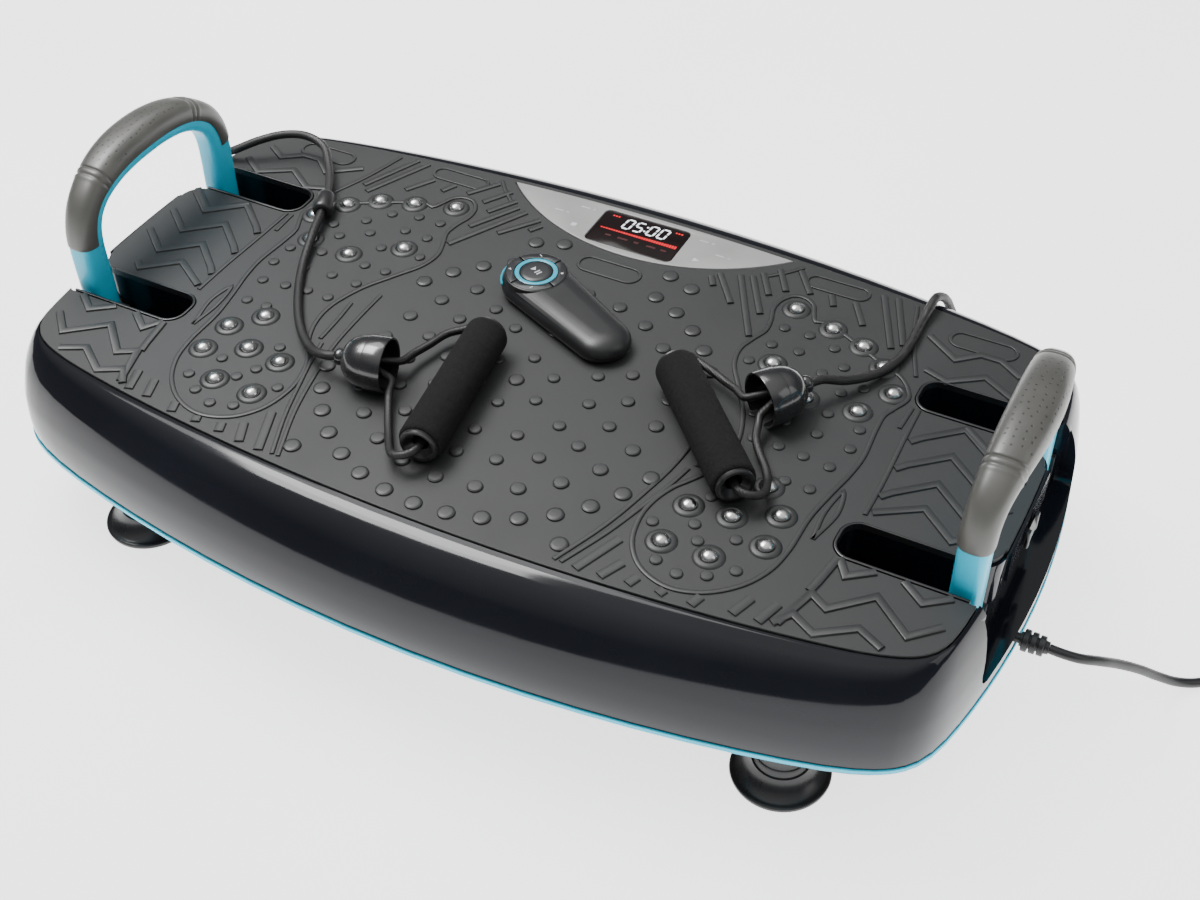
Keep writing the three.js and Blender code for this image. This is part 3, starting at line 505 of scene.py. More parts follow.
def dotted(name, color, rough):
    """Grip rubber with small pierced dots over its crown. The dots are shallow pits painted at a
    fifth of the rubber's colour, a painted shade inside them.
    """
    sh = Shader(name)
    cloudy = sh.noise(40.0, 4.0)
    fine = sh.noise(1800.0, 2.0)
    cells = sh.on_object("ShaderNodeTexVoronoi", voronoi_dimensions="2D", in_Scale=170.0,
                         in_Randomness=0.45)
    holes = sh.spread(cells.outputs["Distance"], 0.0, 1.0, 0.085, 0.15,
                      interpolation_type="SMOOTHSTEP")
    spot = sh.on_object("ShaderNodeSeparateXYZ")
    facing = sh.add("ShaderNodeSeparateXYZ", [("Vector", sh.coords.outputs["Normal"])])
    past_end = sh.calc("GREATER_THAN", sh.calc("ABSOLUTE", spot.outputs["Y"]), 0.047)
    off_crown = sh.calc("LESS_THAN", facing.outputs["Z"], 0.3)
    masked = sh.calc("MAXIMUM", holes, sh.calc("MAXIMUM", past_end, off_crown))
    base = sh.ramp(cloudy, scaled(color, 0.9), scaled(color, 1.1))
    # Inside the dots the colour drops to a fifth of the rubber's: painted shade in the pits.
    dark = sh.add("ShaderNodeMix", data_type="RGBA")
    sh.tree.links.new(masked, dark.inputs["Factor"])
    sh.tree.links.new(base, dark.inputs["B"])
    dark.inputs["A"].default_value = (*scaled(color, 0.2), 1)
    sh.connect("Base Color", dark.outputs["Result"])
    sh.connect("Roughness", sh.spread(cloudy, rough - 0.06, rough + 0.06))
    pits = sh.bump(masked, 0.6, 0.0005)
    sh.connect("Normal", sh.bump(fine, 0.12, 0.00012, pits))
    socket(sh.principled, "Coat Weight", 0.25)
    socket(sh.principled, "Coat Roughness", 0.3)
    return sh.material


def woven(name, color, rough):
    """A braided sleeve: two crossing sets of fine diagonal waves. Its colour follows the weave's
    height, darker in the grooves and lighter on the strands, painted shade and light, with random
    tone from noise.
    """
    sh = Shader(name)
    heights = []
    for turn in (0.7, -0.7):
        mapping = sh.on_object("ShaderNodeMapping", in_Rotation=(turn, turn * 1.3, turn))
        wave = sh.add("ShaderNodeTexWave", [("Vector", mapping.outputs["Vector"])],
                      in_Scale=315.0, in_Distortion=0.4)
        heights.append(wave.outputs["Fac"])
    weave = sh.calc("MULTIPLY", *heights)
    cloudy = sh.noise(60.0)
    # Darker where the weave is low and lighter where it is high: painted shade in the grooves and
    # painted light on the strands; the noise adds random tone.
    tone = sh.ramp(sh.calc("ADD", weave, cloudy), scaled(color, 0.5), scaled(color, 1.4), 0.35, 1.3)
    sh.connect("Base Color", tone)
    sh.connect("Roughness", sh.spread(cloudy, rough - 0.08, rough + 0.08))
    sh.connect("Normal", sh.bump(weave, 0.45, 0.0004))
    return sh.material


def glowing(name, color, strength):
    """A lit segment."""
    sh = Shader(name)
    cloudy = sh.noise(500.0)
    tone = sh.ramp(cloudy, scaled(color, 0.8), color)
    sh.connect("Base Color", tone)
    sh.connect("Emission Color", tone)
    socket(sh.principled, "Emission Strength", strength)
    socket(sh.principled, "Roughness", 0.4)
    return sh.material


def board(name):
    """Green solder resist with tracks."""
    sh = Shader(name)
    brick = sh.on_object("ShaderNodeTexBrick", in_Scale=90.0, in_Color1=(0.012, 0.09, 0.035, 1),
                         in_Color2=(0.02, 0.13, 0.05, 1), in_Mortar=(0.05, 0.22, 0.1, 1))
    sh.connect("Base Color", brick.outputs["Color"])
    sh.connect("Normal", sh.bump(brick.outputs["Fac"], 0.4, 0.0002))
    socket(sh.principled, "Roughness", 0.35)
    return sh.material


GLOSS = surface("gloss_black", (0.0065, 0.0075, 0.011), 0.09, vary=0.2, patch=9.0, grain=260.0,
                bump=0.015, depth=0.0001, spread=0.03, shine=0.3)
PAN = surface("pan_black", (0.018, 0.018, 0.02), 0.5, grain=2400.0, bump=0.3)
CYAN = surface("satin_cyan", (0.015, 0.58, 0.82), 0.3, vary=0.06, grain=1500.0, bump=0.05)
TREAD = surface("tread_rubber", (0.0225, 0.0236, 0.0238), 0.56, vary=0.1, patch=14.0, grain=2600.0,
                bump=0.35, depth=0.00018)
# The tread rubber made about 15 % lighter for the raised ribs: painted light on the ribs, which are
# the same rubber as the tread.
RIBS_PAINTED_LIGHT = surface("tread_relief_painted_light", (0.026, 0.0272, 0.0274), 0.46, vary=0.1, patch=18.0, grain=2600.0,
               bump=0.3, depth=0.00015)
SILVER = surface("panel_silver", (0.42, 0.42, 0.41), 0.48, metal=0.1, vary=0.05, grain=3000.0,
                 bump=0.06)
WINDOW = surface("smoked_window", (0.012, 0.006, 0.006), 0.12, vary=0.25, grain=600.0, bump=0.01,
                 shine=0.2)
STEEL = surface("bright_steel", (0.5, 0.51, 0.52), 0.28, metal=1.0, vary=0.12, grain=900.0)
CASTING = surface("dark_casting", (0.1, 0.1, 0.105), 0.55, metal=0.8, grain=700.0, bump=0.4)
BLACK = surface("satin_black", (0.016, 0.016, 0.017), 0.38, grain=1800.0, bump=0.12)
FOOT = surface("foot_rubber", (0.012, 0.012, 0.013), 0.3, grain=1200.0, bump=0.08)
CATCH = surface("catch_grey", (0.07, 0.072, 0.075), 0.45, grain=1800.0)
REMOTE = surface("remote_shell", (0.019, 0.0196, 0.02), 0.38, vary=0.1, grain=2600.0, bump=0.12,
                 shine=0.4)
REMOTE_DARK = surface("remote_keys", (0.02, 0.021, 0.023), 0.35, grain=2600.0, bump=0.1)
RING = surface("key_ring_cyan", (0.04, 0.5, 0.68), 0.25, vary=0.05)
WHITE = surface("white_print", (0.75, 0.76, 0.77), 0.5, vary=0.05)
FOAM = surface("black_foam", (0.01, 0.0098, 0.0095), 0.9, vary=0.45, patch=320.0, grain=900.0,
               bump=0.9, depth=0.0006, shine=0.2)
MAGNET = surface("magnet_metal", (0.5, 0.5, 0.49), 0.24, metal=1.0, vary=0.08, grain=500.0)
LEAD = surface("cable_jacket", (0.008, 0.008, 0.009), 0.42, grain=1500.0, bump=0.1)
BRAID = woven("braided_sleeve", (0.009, 0.0081, 0.0075), 0.5)
BELL = surface("bell_satin", (0.016, 0.016, 0.017), 0.24, vary=0.1, grain=900.0, bump=0.05, coat=0.5)
LINER = surface("slot_lip", (0.02, 0.02, 0.021), 0.3, grain=1600.0, bump=0.1)
GRIP = dotted("grip_rubber", (0.088, 0.087, 0.078), 0.44)
DIGITS = glowing("digits", (0.85, 0.9, 0.95), 1.6)
RED_BAR = glowing("red_bar", (0.75, 0.004, 0.01), 0.8)
RED_DIM = glowing("red_icons", (0.07, 0.003, 0.004), 0.1)
BOARD = board("circuit_board")


def dress(obj, material, body, replaces=()):
    """A piece's material, the body it rides on and the nodes it replaces."""
    obj.data.materials.clear()
    obj.data.materials.append(material)
    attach(obj, body)
    if replaces:
        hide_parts(*replaces)
    return obj


# ---- Casing ----
# Half depth, depth sag, half length, end sag and corner squareness of the two plan outlines.
MAT_PLAN = (191.0, 33.0, 367.0, 10.0, 15.0)
HEM_PLAN = (238.0, 51.0, 387.0, 28.0, 16.0)
# Height of each ring, and where it lies between the mat's plan, 0, and the hem's, 1.
CASING_LEVELS = [(74.3, 0.985), (80, 0.996), (87, 1.0), (95, 0.985), (104, 0.95), (112, 0.9),
                 (121, 0.8), (128, 0.71), (134, 0.6), (140, 0.45), (144, 0.33), (146.6, 0.22),
                 (148.1, 0.12), (148.5, 0.05)]
INNER_LEVELS = [(64, 0.985), (87, 1.0), (104, 0.95), (121, 0.79), (133, 0.58), (142.7, 0.3)]
MAT_LOW = DECK - 4
SLOT_Y = 79.0
SLOT_HALF = 16.0
SLOT_INNER = 265.0
SLOT_CORNER = 12.0
SLOT_FLARE = 20.0
SLOT_FAR = MAT_PLAN[2] + 40  # past the casing's end
CUT_TOP = 180.0  # above all that is cut
WALL = 3.0


def outline(t, inset=0.0, count=26):
    """The casing seen from above: the mat's plan at t = 0 and the hem's at t = 1."""
    depth, depth_sag, length, end_sag, corner = (
        a + (b - a) * t for a, b in zip(MAT_PLAN, HEM_PLAN))
    points = []
    for quarter in range(4):
        for i in range(count):
            w = 2 * (i + 0.5) / count - 1
            a = math.radians(45 + 45 * math.copysign(abs(w) ** 2.2, w) + 90 * quarter)
            c, s = math.cos(a), math.sin(a)
            r = (abs(c) ** corner + abs(s) ** corner) ** (-1 / corner)
            u, v = r * c, r * s
            points.append((u * (length - inset - end_sag * v * v),
                           v * (depth - inset - depth_sag * u * u)))
    return points


def layers(levels, inset=0.0):
    """Rings of the outline from levels of height, t and, if it has one, an inset of its own."""
    return [[(x, y, z) for x, y in outline(t, inset + sum(own))] for z, t, *own in levels]


def slot_edge(side, row, grow=0.0):
    """The open outline of one slot, from its outer corner round its inner end."""
    inner, half = SLOT_INNER - grow, SLOT_HALF + grow
    corner, flare = SLOT_CORNER + grow, SLOT_FLARE - grow
    raw = [(SLOT_FAR, half)]
    raw += arc(inner + corner, half - corner, corner, 90, 180, 8)
    raw += arc(inner + corner, -half + corner, corner, 180, 270, 8)
    raw += arc(MAT_PLAN[2] - SLOT_FLARE, -half - flare, flare, 90, 0, 8)
    return [(side * x, row * (SLOT_Y + y)) for x, y in raw]


def slot_plan(side, row, grow=0.0):
    near = row * (SLOT_Y - SLOT_HALF - SLOT_FLARE)
    return slot_edge(side, row, grow) + [(side * SLOT_FAR, near)]


def end_cutter(name, side, x0, half):
    """Half a plan in Y and Z, and its mirror image, pushed from x0 past the casing's end."""
    plan = half + [(-y, z) for y, z in reversed(half)]
    return loft(name, [[(side * x, y, z) for y, z in plan] for x in (x0, 430)])


def pockets(grow):
    """Cutters for the slots, the tunnels under the tread and the end recesses."""
    cutters = []
    edge = [(97, 150), (98.5, 140), (102, 122), (105.5, 107), (107, 98), (106.2, 92.5),
            (103.2, 88.3), (98, 86)]
    right = [(y + grow, max(z, 86) - grow * (z < 90)) for y, z in edge]
    low = [(y - 0.4, z + 0.3) for y, z in right if z < 130]
    for _, side in SIDES:
        cutters.append(end_cutter("recess", side, 369.5 - grow, [(97 + grow, 176), *right]))
        cutters.append(end_cutter("scoop", side, 366 - grow, low))
        for _, row in ROWS:
            cutters.append(prism("slot", slot_plan(side, row, grow), 90 - grow, CUT_TOP))
            mouth = rounded_rect(43 + grow, 2 * (SLOT_HALF + grow), 6, 4,
                                 side * (263.5 - grow / 2), row * SLOT_Y)
            cutters.append(prism("tunnel", mouth, 90 - grow, 122 + grow))
    return cutters


def make_casing():
    outer = loft("casing", layers(CASING_LEVELS))
    inner = boolean(loft("inner", layers(INNER_LEVELS, WALL)), pockets(WALL))
    seat = prism("seat", outline(0, -0.6), MAT_LOW - 0.3, CUT_TOP)
    lead_hole = place(lathe("hole", [(0, -7), (3.7, -7), (3.7, 20), (0, 20)], 24),
                      386, RELIEF["y"], RELIEF["z"], tip=ALONG_X)
    boolean(outer, [inner, seat, lead_hole, *pockets(0.0)])
    bevel(outer, 0.7, 2, 38)
    bake(outer)
    dress(weighted(smooth(outer, 32)), GLOSS, "base", ["upper_cover"])


def make_trim():
    """The cyan band, which stands 0.5 mm proud of the casing."""
    rings = [(70.0, 0.4), (70.4, 0.0), (73.6, 0.0), (74.0, 0.4), (74.0, 6.0), (70.0, 6.0)]
    rows = [[(x, y, z) for x, y in outline(1, inset - 0.5)] for z, inset in rings]
    rows.append(rows[0])
    band = loft("trim", rows, capped=False)
    dress(smooth(band, 30), CYAN, "base", ["trim_band"])


def make_pan():
    """The black underside, with a screw well by each corner and a row of vents."""
    levels = [(48.0, 0.6, 16.0), (48.4, 0.62, 14.5), (50.0, 0.68, 11.0), (53.0, 0.77, 7.0),
              (56.0, 0.85, 4.0), (62.0, 0.93, 2.6), (69.7, 0.98, 2.0)]
    outer = loft("pan", layers(levels))
    inner = loft("pan_inner", layers([(51, 0.6, 19.0), (59, 0.85, 8.0), (75, 0.98, 5.0)]))
    vents = []
    for k in range(-4, 5):
        plan = rounded_rect(4, 60, 1.9, 4, 200 + 9 * k, 0)
        vents.append(prism("vent", plan, 40, 55))
    boolean(outer, [inner, *vents])
    bevel(outer, 0.5, 1, 50)
    bake(outer)
    posts = []
    for x in (158, 232):
        for y in (-52, 52):
            posts.append(place(lathe("post", [(0, 49), (4, 49), (4, 56.7), (0, 56.7)], 16), x, y))
    ears = []
    for _, side in SIDES:
        ear = prism("ear", rounded_rect(18, 24, 3, 4, side * 300, 196), 52, 64)
        ears.append(bake(bevel(ear, 1.2, 2)))
    pan = join("pan", [outer, *posts, *ears])
    dress(smooth(pan, 35), PAN, "base", ["base_pan"])


# ---- Tread ----
# The display's lens outline: half its length, its rear and front in Y, and the Y of its tips.
PANEL_HALF, PANEL_REAR, PANEL_FRONT, PANEL_TIP = 124.0, 186.0, 130.0, 182.0


def bow_radius(half, sag):
    """The radius of an arc from half its chord and its depth."""
    return (half * half + sag * sag) / (2 * sag)


def panel_plan(grow=0.0):
    half, rear, front, tip = PANEL_HALF + grow, PANEL_REAR + grow, PANEL_FRONT - grow, PANEL_TIP
    radius = bow_radius(half, tip - front)
    reach = math.degrees(math.asin(half / radius))
    points = arc(0, front + radius, radius, -90 - reach, -90 + reach, 40)
    for i in range(1, 24):
        t = i / 24
        points.append((half * (1 - 2 * t), tip + 2 * t * (1 - t) * (rear + 4 - tip)))
    return points


def ridge(name, points, width, height, base=DECK - 0.3, closed=False):
    """A raised rib with a rounded crown that follows points on the tread, mitred at its corners."""
    pts = [Vector(p).to_2d() for p in points]
    count = len(pts)
    rows = []
    half = width / 2
    crown = ((-half, base), (-half * 0.8, DECK + height * 0.8), (-half * 0.56, DECK + height),
             (half * 0.56, DECK + height), (half * 0.8, DECK + height * 0.8), (half, base))
    for i, point in enumerate(pts):
        before = pts[i - 1] if closed or i else None
        after = pts[(i + 1) % count] if closed or i + 1 < count else None
        a = (point - before).normalized() if before is not None else (after - point).normalized()
        b = (after - point).normalized() if after is not None else a
        bisector = (a + b).normalized()
        normal = Vector((-bisector.y, bisector.x))
        stretch = 1 / max(0.45, normal.dot(Vector((-a.y, a.x))))
        rows.append([(point.x + normal.x * o * stretch, point.y + normal.y * o * stretch, z)
                     for o, z in crown])
    if closed:
        return loft(name, [*rows, rows[0]], capped=False)
    return loft(name, rows)


def stud(x, y, radius, height):
    profile = [(radius, DECK - 0.3), (radius * 0.95, DECK + height * 0.6),
               (radius * 0.8, DECK + height * 0.94), (radius * 0.6, DECK + height),
               (0, DECK + height * 1.04)]
    return place(lathe("stud", profile, 20), x, y)


# One foot, given for the right side: instep, heel and outer edge of its raised outline.
FOOT_EDGE = [(237, 92), (245, 89), (254, 80), (259, 68), (254, 54), (250, 44), (250, 27), (252, -3),
             (250, -23), (245, -48), (241, -73), (240, -107), (236, -128), (225, -148), (206, -164),
             (184, -170), (162, -163), (147, -146), (141, -123), (142, -106), (148, -88),
             (160, -69), (168, -48), (169, -26), (160, 3), (146, 27), (133, 49), (130, 66),
             (134, 81), (138.5, 94), (137, 108), (133.5, 121), (135, 133), (142, 142), (151, 143),
             (159, 138), (163, 129), (168, 120), (175, 122)]
TOES = ((149.5, 127), (183, 117), (210.5, 108), (232, 92), (248, 68))
BALL = ((158, 61), (193.5, 35.5), (232, 39))
HEEL = ((165, -98), (163, -135.5), (195, -95), (196.5, -134.5), (224, -80), (225.5, -110),
        (206, -58.5))
FOOT_STUDS = ((150, 103), (170, 103), (192, 97), (149, 81), (170, 82), (206, 80), (141, 57),
              (175, 54), (194, 67), (214, 53), (227, 64), (155, 29), (174, 29), (214, 28),
              (240, 22), (167, 6), (190, 7), (215, 5), (241, 1), (177, -18), (196, -18),
              (215, -20), (235, -22), (213, -48), (231, -48), (176, -112), (206, -113),
              (150, -122), (184, -125), (217, -138), (167, -152), (184, -157), (202, -150),
              (175, -84))
# Ribs of the right half, each with its width: chevrons, section edges, front and rear bars.
CHEVRONS = [[(275, y - 7), (281, y), (306, y + 22), (332, y), (357, y + 20)]
            for y in (33, 3, -27)] + [
    [(276, -50), (306, -31), (331, -52), (337, -47)],
    [(306, 57), (332, 36), (357, 56)],
    [(260, 104), (277, 98), (301, 114.5), (327, 99), (347, 113)],
    [(250, 142), (275, 124), (290, 137), (306, 137), (322, 126), (338, 136)],
    [(272, -98), (281, -111), (297, -99)],
    [(316, -99), (332, -111), (348, -99)],
    [(257, -167), (267, -134), (280, -142), (305, -118.5), (332.5, -141), (350, -124)],
    [(254, -168), (263, -155), (280, -164.5), (304, -148), (322, -157)],
    [(271, -99), (267, -124), (265, -133)]]
EDGES = [[(270, 60), (271, 20), (272.5, -20), (272.5, -54)], [(265, 60), (264, 36)],
         [(250, -90), (248, -62), (252, -40), (256, -60), (250, -90)],
         [(230, 171), (240, 134), (256, 93)], [(135, 178), (125, 166), (112, 154)],
         [(142, 2), (142, -30), (140, -66), (134, -98), (124, -138), (108, -181)],
         [(150, -66), (146, -84), (138, -112), (128, -144), (113, -181)],
         [(157, -16), (155, -38), (154, -62)]]
FRONT_BARS = ([(229, -172), (235, -155)], [(203, -177), (206, -168)], [(181, -178), (183, -173)],
              [(160, -179), (163, -171)], [(141, -181), (149, -164)], [(124, -182), (138, -146)],
              [(246, -171), (252, -152)])
REAR_BARS = ([(203, 172), (229, 115)], [(214, 173), (236, 122)], [(187, 154), (201, 131)],
             [(167, 155), (173, 143)], [(135, 173), (152, 149)], [(120, 167), (134, 144)],
             [(110, 157), (124, 134)], [(95, 147), (130, 82)], [(80, 142), (102, 112)],
             [(75, 136), (81, 126)], [(104, 150), (127, 110)])
# Middle, width and depth of the empty capsules that stand in for lettering.
CAPSULES = ((168, 166, 50, 15), (289, 148, 50, 17))
# Radius and height over the tread of a magnet's dome and of the collar round it.
DOME = [(5.9, -0.2), (5.7, 1.6), (5.0, 3.0), (3.6, 4.2), (1.9, 4.8), (0, 5.0)]
COLLAR = [(6.2, -0.3), (6.2, 1.0), (7.2, 1.8), (9.2, 1.6), (10.6, 0.8), (11.3, -0.3)]


# The middle's studs: rings round one centre. Each ring has a radius, a step in degrees and the
# radius of its studs.
RING_CENTRE_Y = -38.0
STUD_RINGS = ((27, 60, 4.8), (59, 30, 5.0), (84, 20, 5.2), (112, 15, 5.8), (140, 10, 6.4),
              (167, 7.8, 6.6))
CROWDED = 90.0  # square of the least distance between two studs


def before_panel(x, y):
    """How far a point lies in front of the display's curved edge."""
    radius = bow_radius(PANEL_HALF, PANEL_TIP - PANEL_FRONT)
    return math.hypot(x, y - PANEL_FRONT - radius) - radius


def stud_fits(x, y):
    """Whether a stud in the middle clears the display, the capsule, the bars and the edges."""
    lens = y > 124 and abs(x) < 62
    edge = y < -178 + 0.0003 * x * x
    capsule = abs(x) < 34 and 94 < y < 124
    bar = y > 74 and abs(x) > 76
    side_limit = 138 - 0.0018 * (y - RING_CENTRE_Y) ** 2 if y < RING_CENTRE_Y else 131
    taken = lens or edge or capsule or bar
    return before_panel(x, y) >= 9 and not taken and abs(x) <= side_limit


def ring_studs():
    studs = [(0, RING_CENTRE_Y, 6.0)]
    for radius, step, size in STUD_RINGS:
        count = int(180 // step)
        for k in range(-count, count + 1):
            x, y = polar(0, RING_CENTRE_Y, radius, k * step - 90)
            crowded = any((x - a) ** 2 + (y - b) ** 2 < CROWDED for a, b, _ in studs)
            if stud_fits(x, y) and not crowded:
                studs.append((x, y, size))
    return studs


def make_tread():
    mat = prism("tread", outline(0, 0.3, 40), MAT_LOW, DECK)
    cutters = [prism("slot", slot_plan(side, row, 2.4), 120, CUT_TOP)
               for _, side in SIDES for _, row in ROWS]
    cutters.append(prism("panel", panel_plan(0.8), 120, CUT_TOP))
    boolean(mat, cutters)
    bevel(mat, 0.8, 3, 45)
    bake(mat)
    dress(weighted(smooth(mat, 40)), TREAD, "base", ["deck_mat"])


def flat_spline(points, step):
    return [(p.x, p.y) for p in spline([(x, y, 0) for x, y in points], step)]


def make_relief():
    """The raised pattern. Each rib is a little higher than the one before, so none share a face."""
    parts = []
    foot = flat_spline([*FOOT_EDGE, FOOT_EDGE[0]], 3.0)[:-1]
    edges = [flat_spline(line, 4.0) for line in EDGES]
    for _, side in SIDES:
        def rib(name, points, width, height, closed=False):
            flipped = [(side * x, y) for x, y in points]
            parts.append(ridge(name, flipped, width, height, closed=closed))

        rib("foot", foot, 3.8, 1.3, True)
        for k, line in enumerate(CHEVRONS):
            rib("chevron", line, 6.6, 1.5 + 0.02 * k)
        for k, line in enumerate(edges):
            rib("edge", line, 3.6, 1.1 + 0.015 * k)
        for k, line in enumerate(FRONT_BARS):
            rib("bar", line, 7.8, 1.41 + 0.01 * k)
        for k, line in enumerate(REAR_BARS):
            if all(before_panel(x, y) > 3 for x, y in line):
                rib("bar", line, 5.8, 1.41 + 0.01 * k)
        for x, y, width, depth in CAPSULES:
            plan = rounded_rect(width, depth, depth / 2 - 0.1, 8, side * x, y)
            parts.append(ridge("capsule", plan, 3.0, 1.2, closed=True))
        for x, y in FOOT_STUDS:
            parts.append(stud(side * x, y, 4.5, 1.6))
        for x, y in (*TOES, *BALL, *HEEL):
            parts.append(place(lathe("collar", COLLAR, 32), side * x, y, DECK))
    parts.append(ridge("capsule", rounded_rect(52, 18, 8.9, 8, 0, 109), 3.0, 1.2, closed=True))
    for x, y, size in ring_studs():
        parts.append(stud(x, y, size, 1.9))
    relief = join("relief", parts)
    # The ribs wear the lighter copy of the tread rubber, painted light.
    dress(smooth(relief, 30), RIBS_PAINTED_LIGHT, "base")


def make_magnets():
    """Metal domes on the two footprints."""
    parts = []
    for _, side in SIDES:
        for x, y in (*TOES, *BALL, *HEEL):
            parts.append(place(lathe("magnet", DOME, 24), side * x, y, DECK))
    dress(smooth(join("magnets", parts), 60), MAGNET, "base")


def make_slot_rims():
    rims = []
    for _, side in SIDES:
        for _, row in ROWS:
            edge = [(x, y) for x, y in slot_edge(side, row, 1.1) if abs(x) < 354]
            edge = [(side * 358, row * (SLOT_Y + SLOT_HALF + 1.1)), *edge]
            rims.append(ridge("rim", edge, 2.2, 0.9, base=MAT_LOW - 0.4))
    dress(smooth(join("slot_rims", rims), 50), LINER, "base")


# ---- Display ----
DISPLAY_Y = 159.0
DIGIT_Y = 169.5
LEAN = 0.12
DIGIT_SEGMENTS = {"0": "abcdef", "5": "afgcd"}


def ink(name, plan, low=DECK + 0.02, high=DECK + 0.12):
    """A thin shape on the window, or on the surface at low."""
    return prism(name, plan, low, high)


def digit_bars(cx, cy, width, height, segments):
    """Seven-segment strokes, leaning to the right."""
    stroke = 1.5
    w, h = width / 2, height / 2
    places = {"a": (0, h, 0), "g": (0, 0, 0), "d": (0, -h, 0), "f": (-w, h / 2, 1),
              "b": (w, h / 2, 1), "e": (-w, -h / 2, 1), "c": (w, -h / 2, 1)}
    bars = []
    for key in segments:
        x, y, upright = places[key]
        size = (stroke, h - 1.2) if upright else (width - 1.2, stroke)
        plan = rounded_rect(*size, 0.6, 3, x, y)
        plan = [(cx + px + LEAN * py, cy + py) for px, py in plan]
        bars.append(ink("digit", plan))
    return bars


def make_panel():
    panel = prism("panel", panel_plan(), MAT_LOW, DECK + 0.6)
    well = prism("well", rounded_rect(76.6, 44.6, 5.3, 8, 0, DISPLAY_Y), DECK - 1.6, CUT_TOP)
    boolean(panel, [well])
    bevel(panel, 0.5, 3, 50)
    bake(panel)
    dress(smooth(panel, 40), SILVER, "base", ["display_panel"])
    glass = prism("window", rounded_rect(75.6, 43.6, 4.7, 8, 0, DISPLAY_Y), DECK - 1.5, DECK)
    dress(smooth(bake(bevel(glass, 0.4, 2))), WINDOW, "base", ["display_window"])


def make_readout():
    """The clock, the red bar of steps and the icons, lit behind the window."""
    lit = []
    for x, digit in ((-13.2, "0"), (-3.6, "5"), (8.2, "0"), (17.8, "0")):
        lit += digit_bars(x, DIGIT_Y, 6.2, 12.5, DIGIT_SEGMENTS[digit])
    for y in (166.6, 172.4):
        lit.append(ink("colon", arc(2.3 + LEAN * (y - DIGIT_Y), y, 0.9, 0, 345, 23)))
    dress(join("digits", lit), DIGITS, "base")
    red = []
    for k in range(30):
        height = 2 * (0.8 + 1.1 * k / 29)
        red.append(ink("bar", rounded_rect(1.8, height, 0.3, 2, -31.5 + 2.25 * k, 157.4)))
    for x in (-27, 29):
        for dx in (-2.4, 0, 2.4):
            red.append(ink("flag", rounded_rect(1.7, 1.9, 0.4, 2, x + dx, 175.6)))
    dress(join("red_bar", red), RED_BAR, "base")
    dim = [ink("icon", rounded_rect(width, 2.2, 0.6, 3, x, 149.8))
           for x, width in ((-22, 5), (-9, 9), (3, 4), (16, 8), (27, 5))]
    dress(join("dim_icons", dim), RED_DIM, "base")


def make_legends():
    """Plain marks by the four keys of the panel, and two icons under them."""
    plans = []
    for x, y, plus in ((-52, 174.8, 1), (-70, 162.5, 0), (54, 174.8, 1), (73, 162.5, 1)):
        plans.append(rounded_rect(7.5, 1.0, 0.4, 2, x - 3, y))
        plans.append(rounded_rect(2.6, 0.8, 0.3, 2, x + 5, y))
        if plus:
            plans.append(rounded_rect(0.8, 2.6, 0.3, 2, x + 5, y))
    plans.append([(53, 147), (53, 152), (58, 149.5)])
    plans.append(rounded_rect(4.6, 4.6, 1.2, 4, -53, 149.8))
    top = DECK + 0.62
    marks = [ink("mark", plan, top, top + 0.06) for plan in plans]
    dress(join("legends", marks), WHITE, "base")


# ---- Handles ----
HINGE_X = 352.0
HINGE_Z = 109.0
HANDLE_TOP = 231.8
GRIP_FROM = 184.0
HALF_BOW = [(79, 100), (79, 145), (79.5, 168), (79.3, 184), (77, 198), (70.5, 210.5),
            (58.5, 220), (42, 227), (22, 230.8)]


def bow_path(side, step=2.0):
    front = [(side * HINGE_X, -y, z) for y, z in HALF_BOW]
    rear = [(side * HINGE_X, y, z) for y, z in reversed(HALF_BOW)]
    return spline([*front, (side * HINGE_X, 0, HANDLE_TOP), *rear], step)


def swell(y):
    """How far the bow has grown from its legs, 0, to the middle of its top, 1."""
    return (1 - min(abs(y) / SLOT_Y, 1) ** 2) ** 1.3


def oval(a, b, count=28, power=2.4, start=0.0, end=360.0, shift=(0.0, 0.0)):
    """Points of a squarish oval, from start to end in degrees."""
    full = end - start >= 360
    points = []
    for i in range(count):
        t = math.radians(start + (end - start) * i / (count if full else count - 1))
        c, s = math.cos(t), math.sin(t)
        points.append((shift[0] + a * math.copysign(abs(c) ** (2 / power), c),
                       shift[1] + b * math.copysign(abs(s) ** (2 / power), s)))
    return points


def frame_section(point, side, grow=0.0, start=0.0, end=360.0):
    m = swell(point.y)
    return oval(11.2 + m + grow, 10.5 + 5.2 * m + grow, 28, 4 - min(1, 3 * m), start, end,
                (0, side * 4.5 * m))


def grip_section(s, total, point, side):
    """A thick C round the outside of the bow. Its open side shows the frame, and it has two
    grooves near each end."""
    end = min(s, total - s)
    m = swell(point.y)
    tip = min(1.0, end / 3.0)
    shrink = 0.955 + 0.045 * math.sqrt(1 - (1 - tip) ** 2)
    for at in (46, 51):
        shrink += 0.02 * math.exp(-((end - at) / 1.3) ** 2)
        shrink -= 0.06 * math.exp(-((end - at - 2.2) / 0.7) ** 2)
    start, reach = (-118, 92) if side < 0 else (-92, 118)
    outer = oval((12.4 + 2.4 * m) * shrink, (12 + 5 * m) * shrink, 28, 2.6, start, reach,
                 (0.9, side * 5.2 * m))
    inner = frame_section(point, side, 0.3, start, reach)
    return outer + inner[::-1]


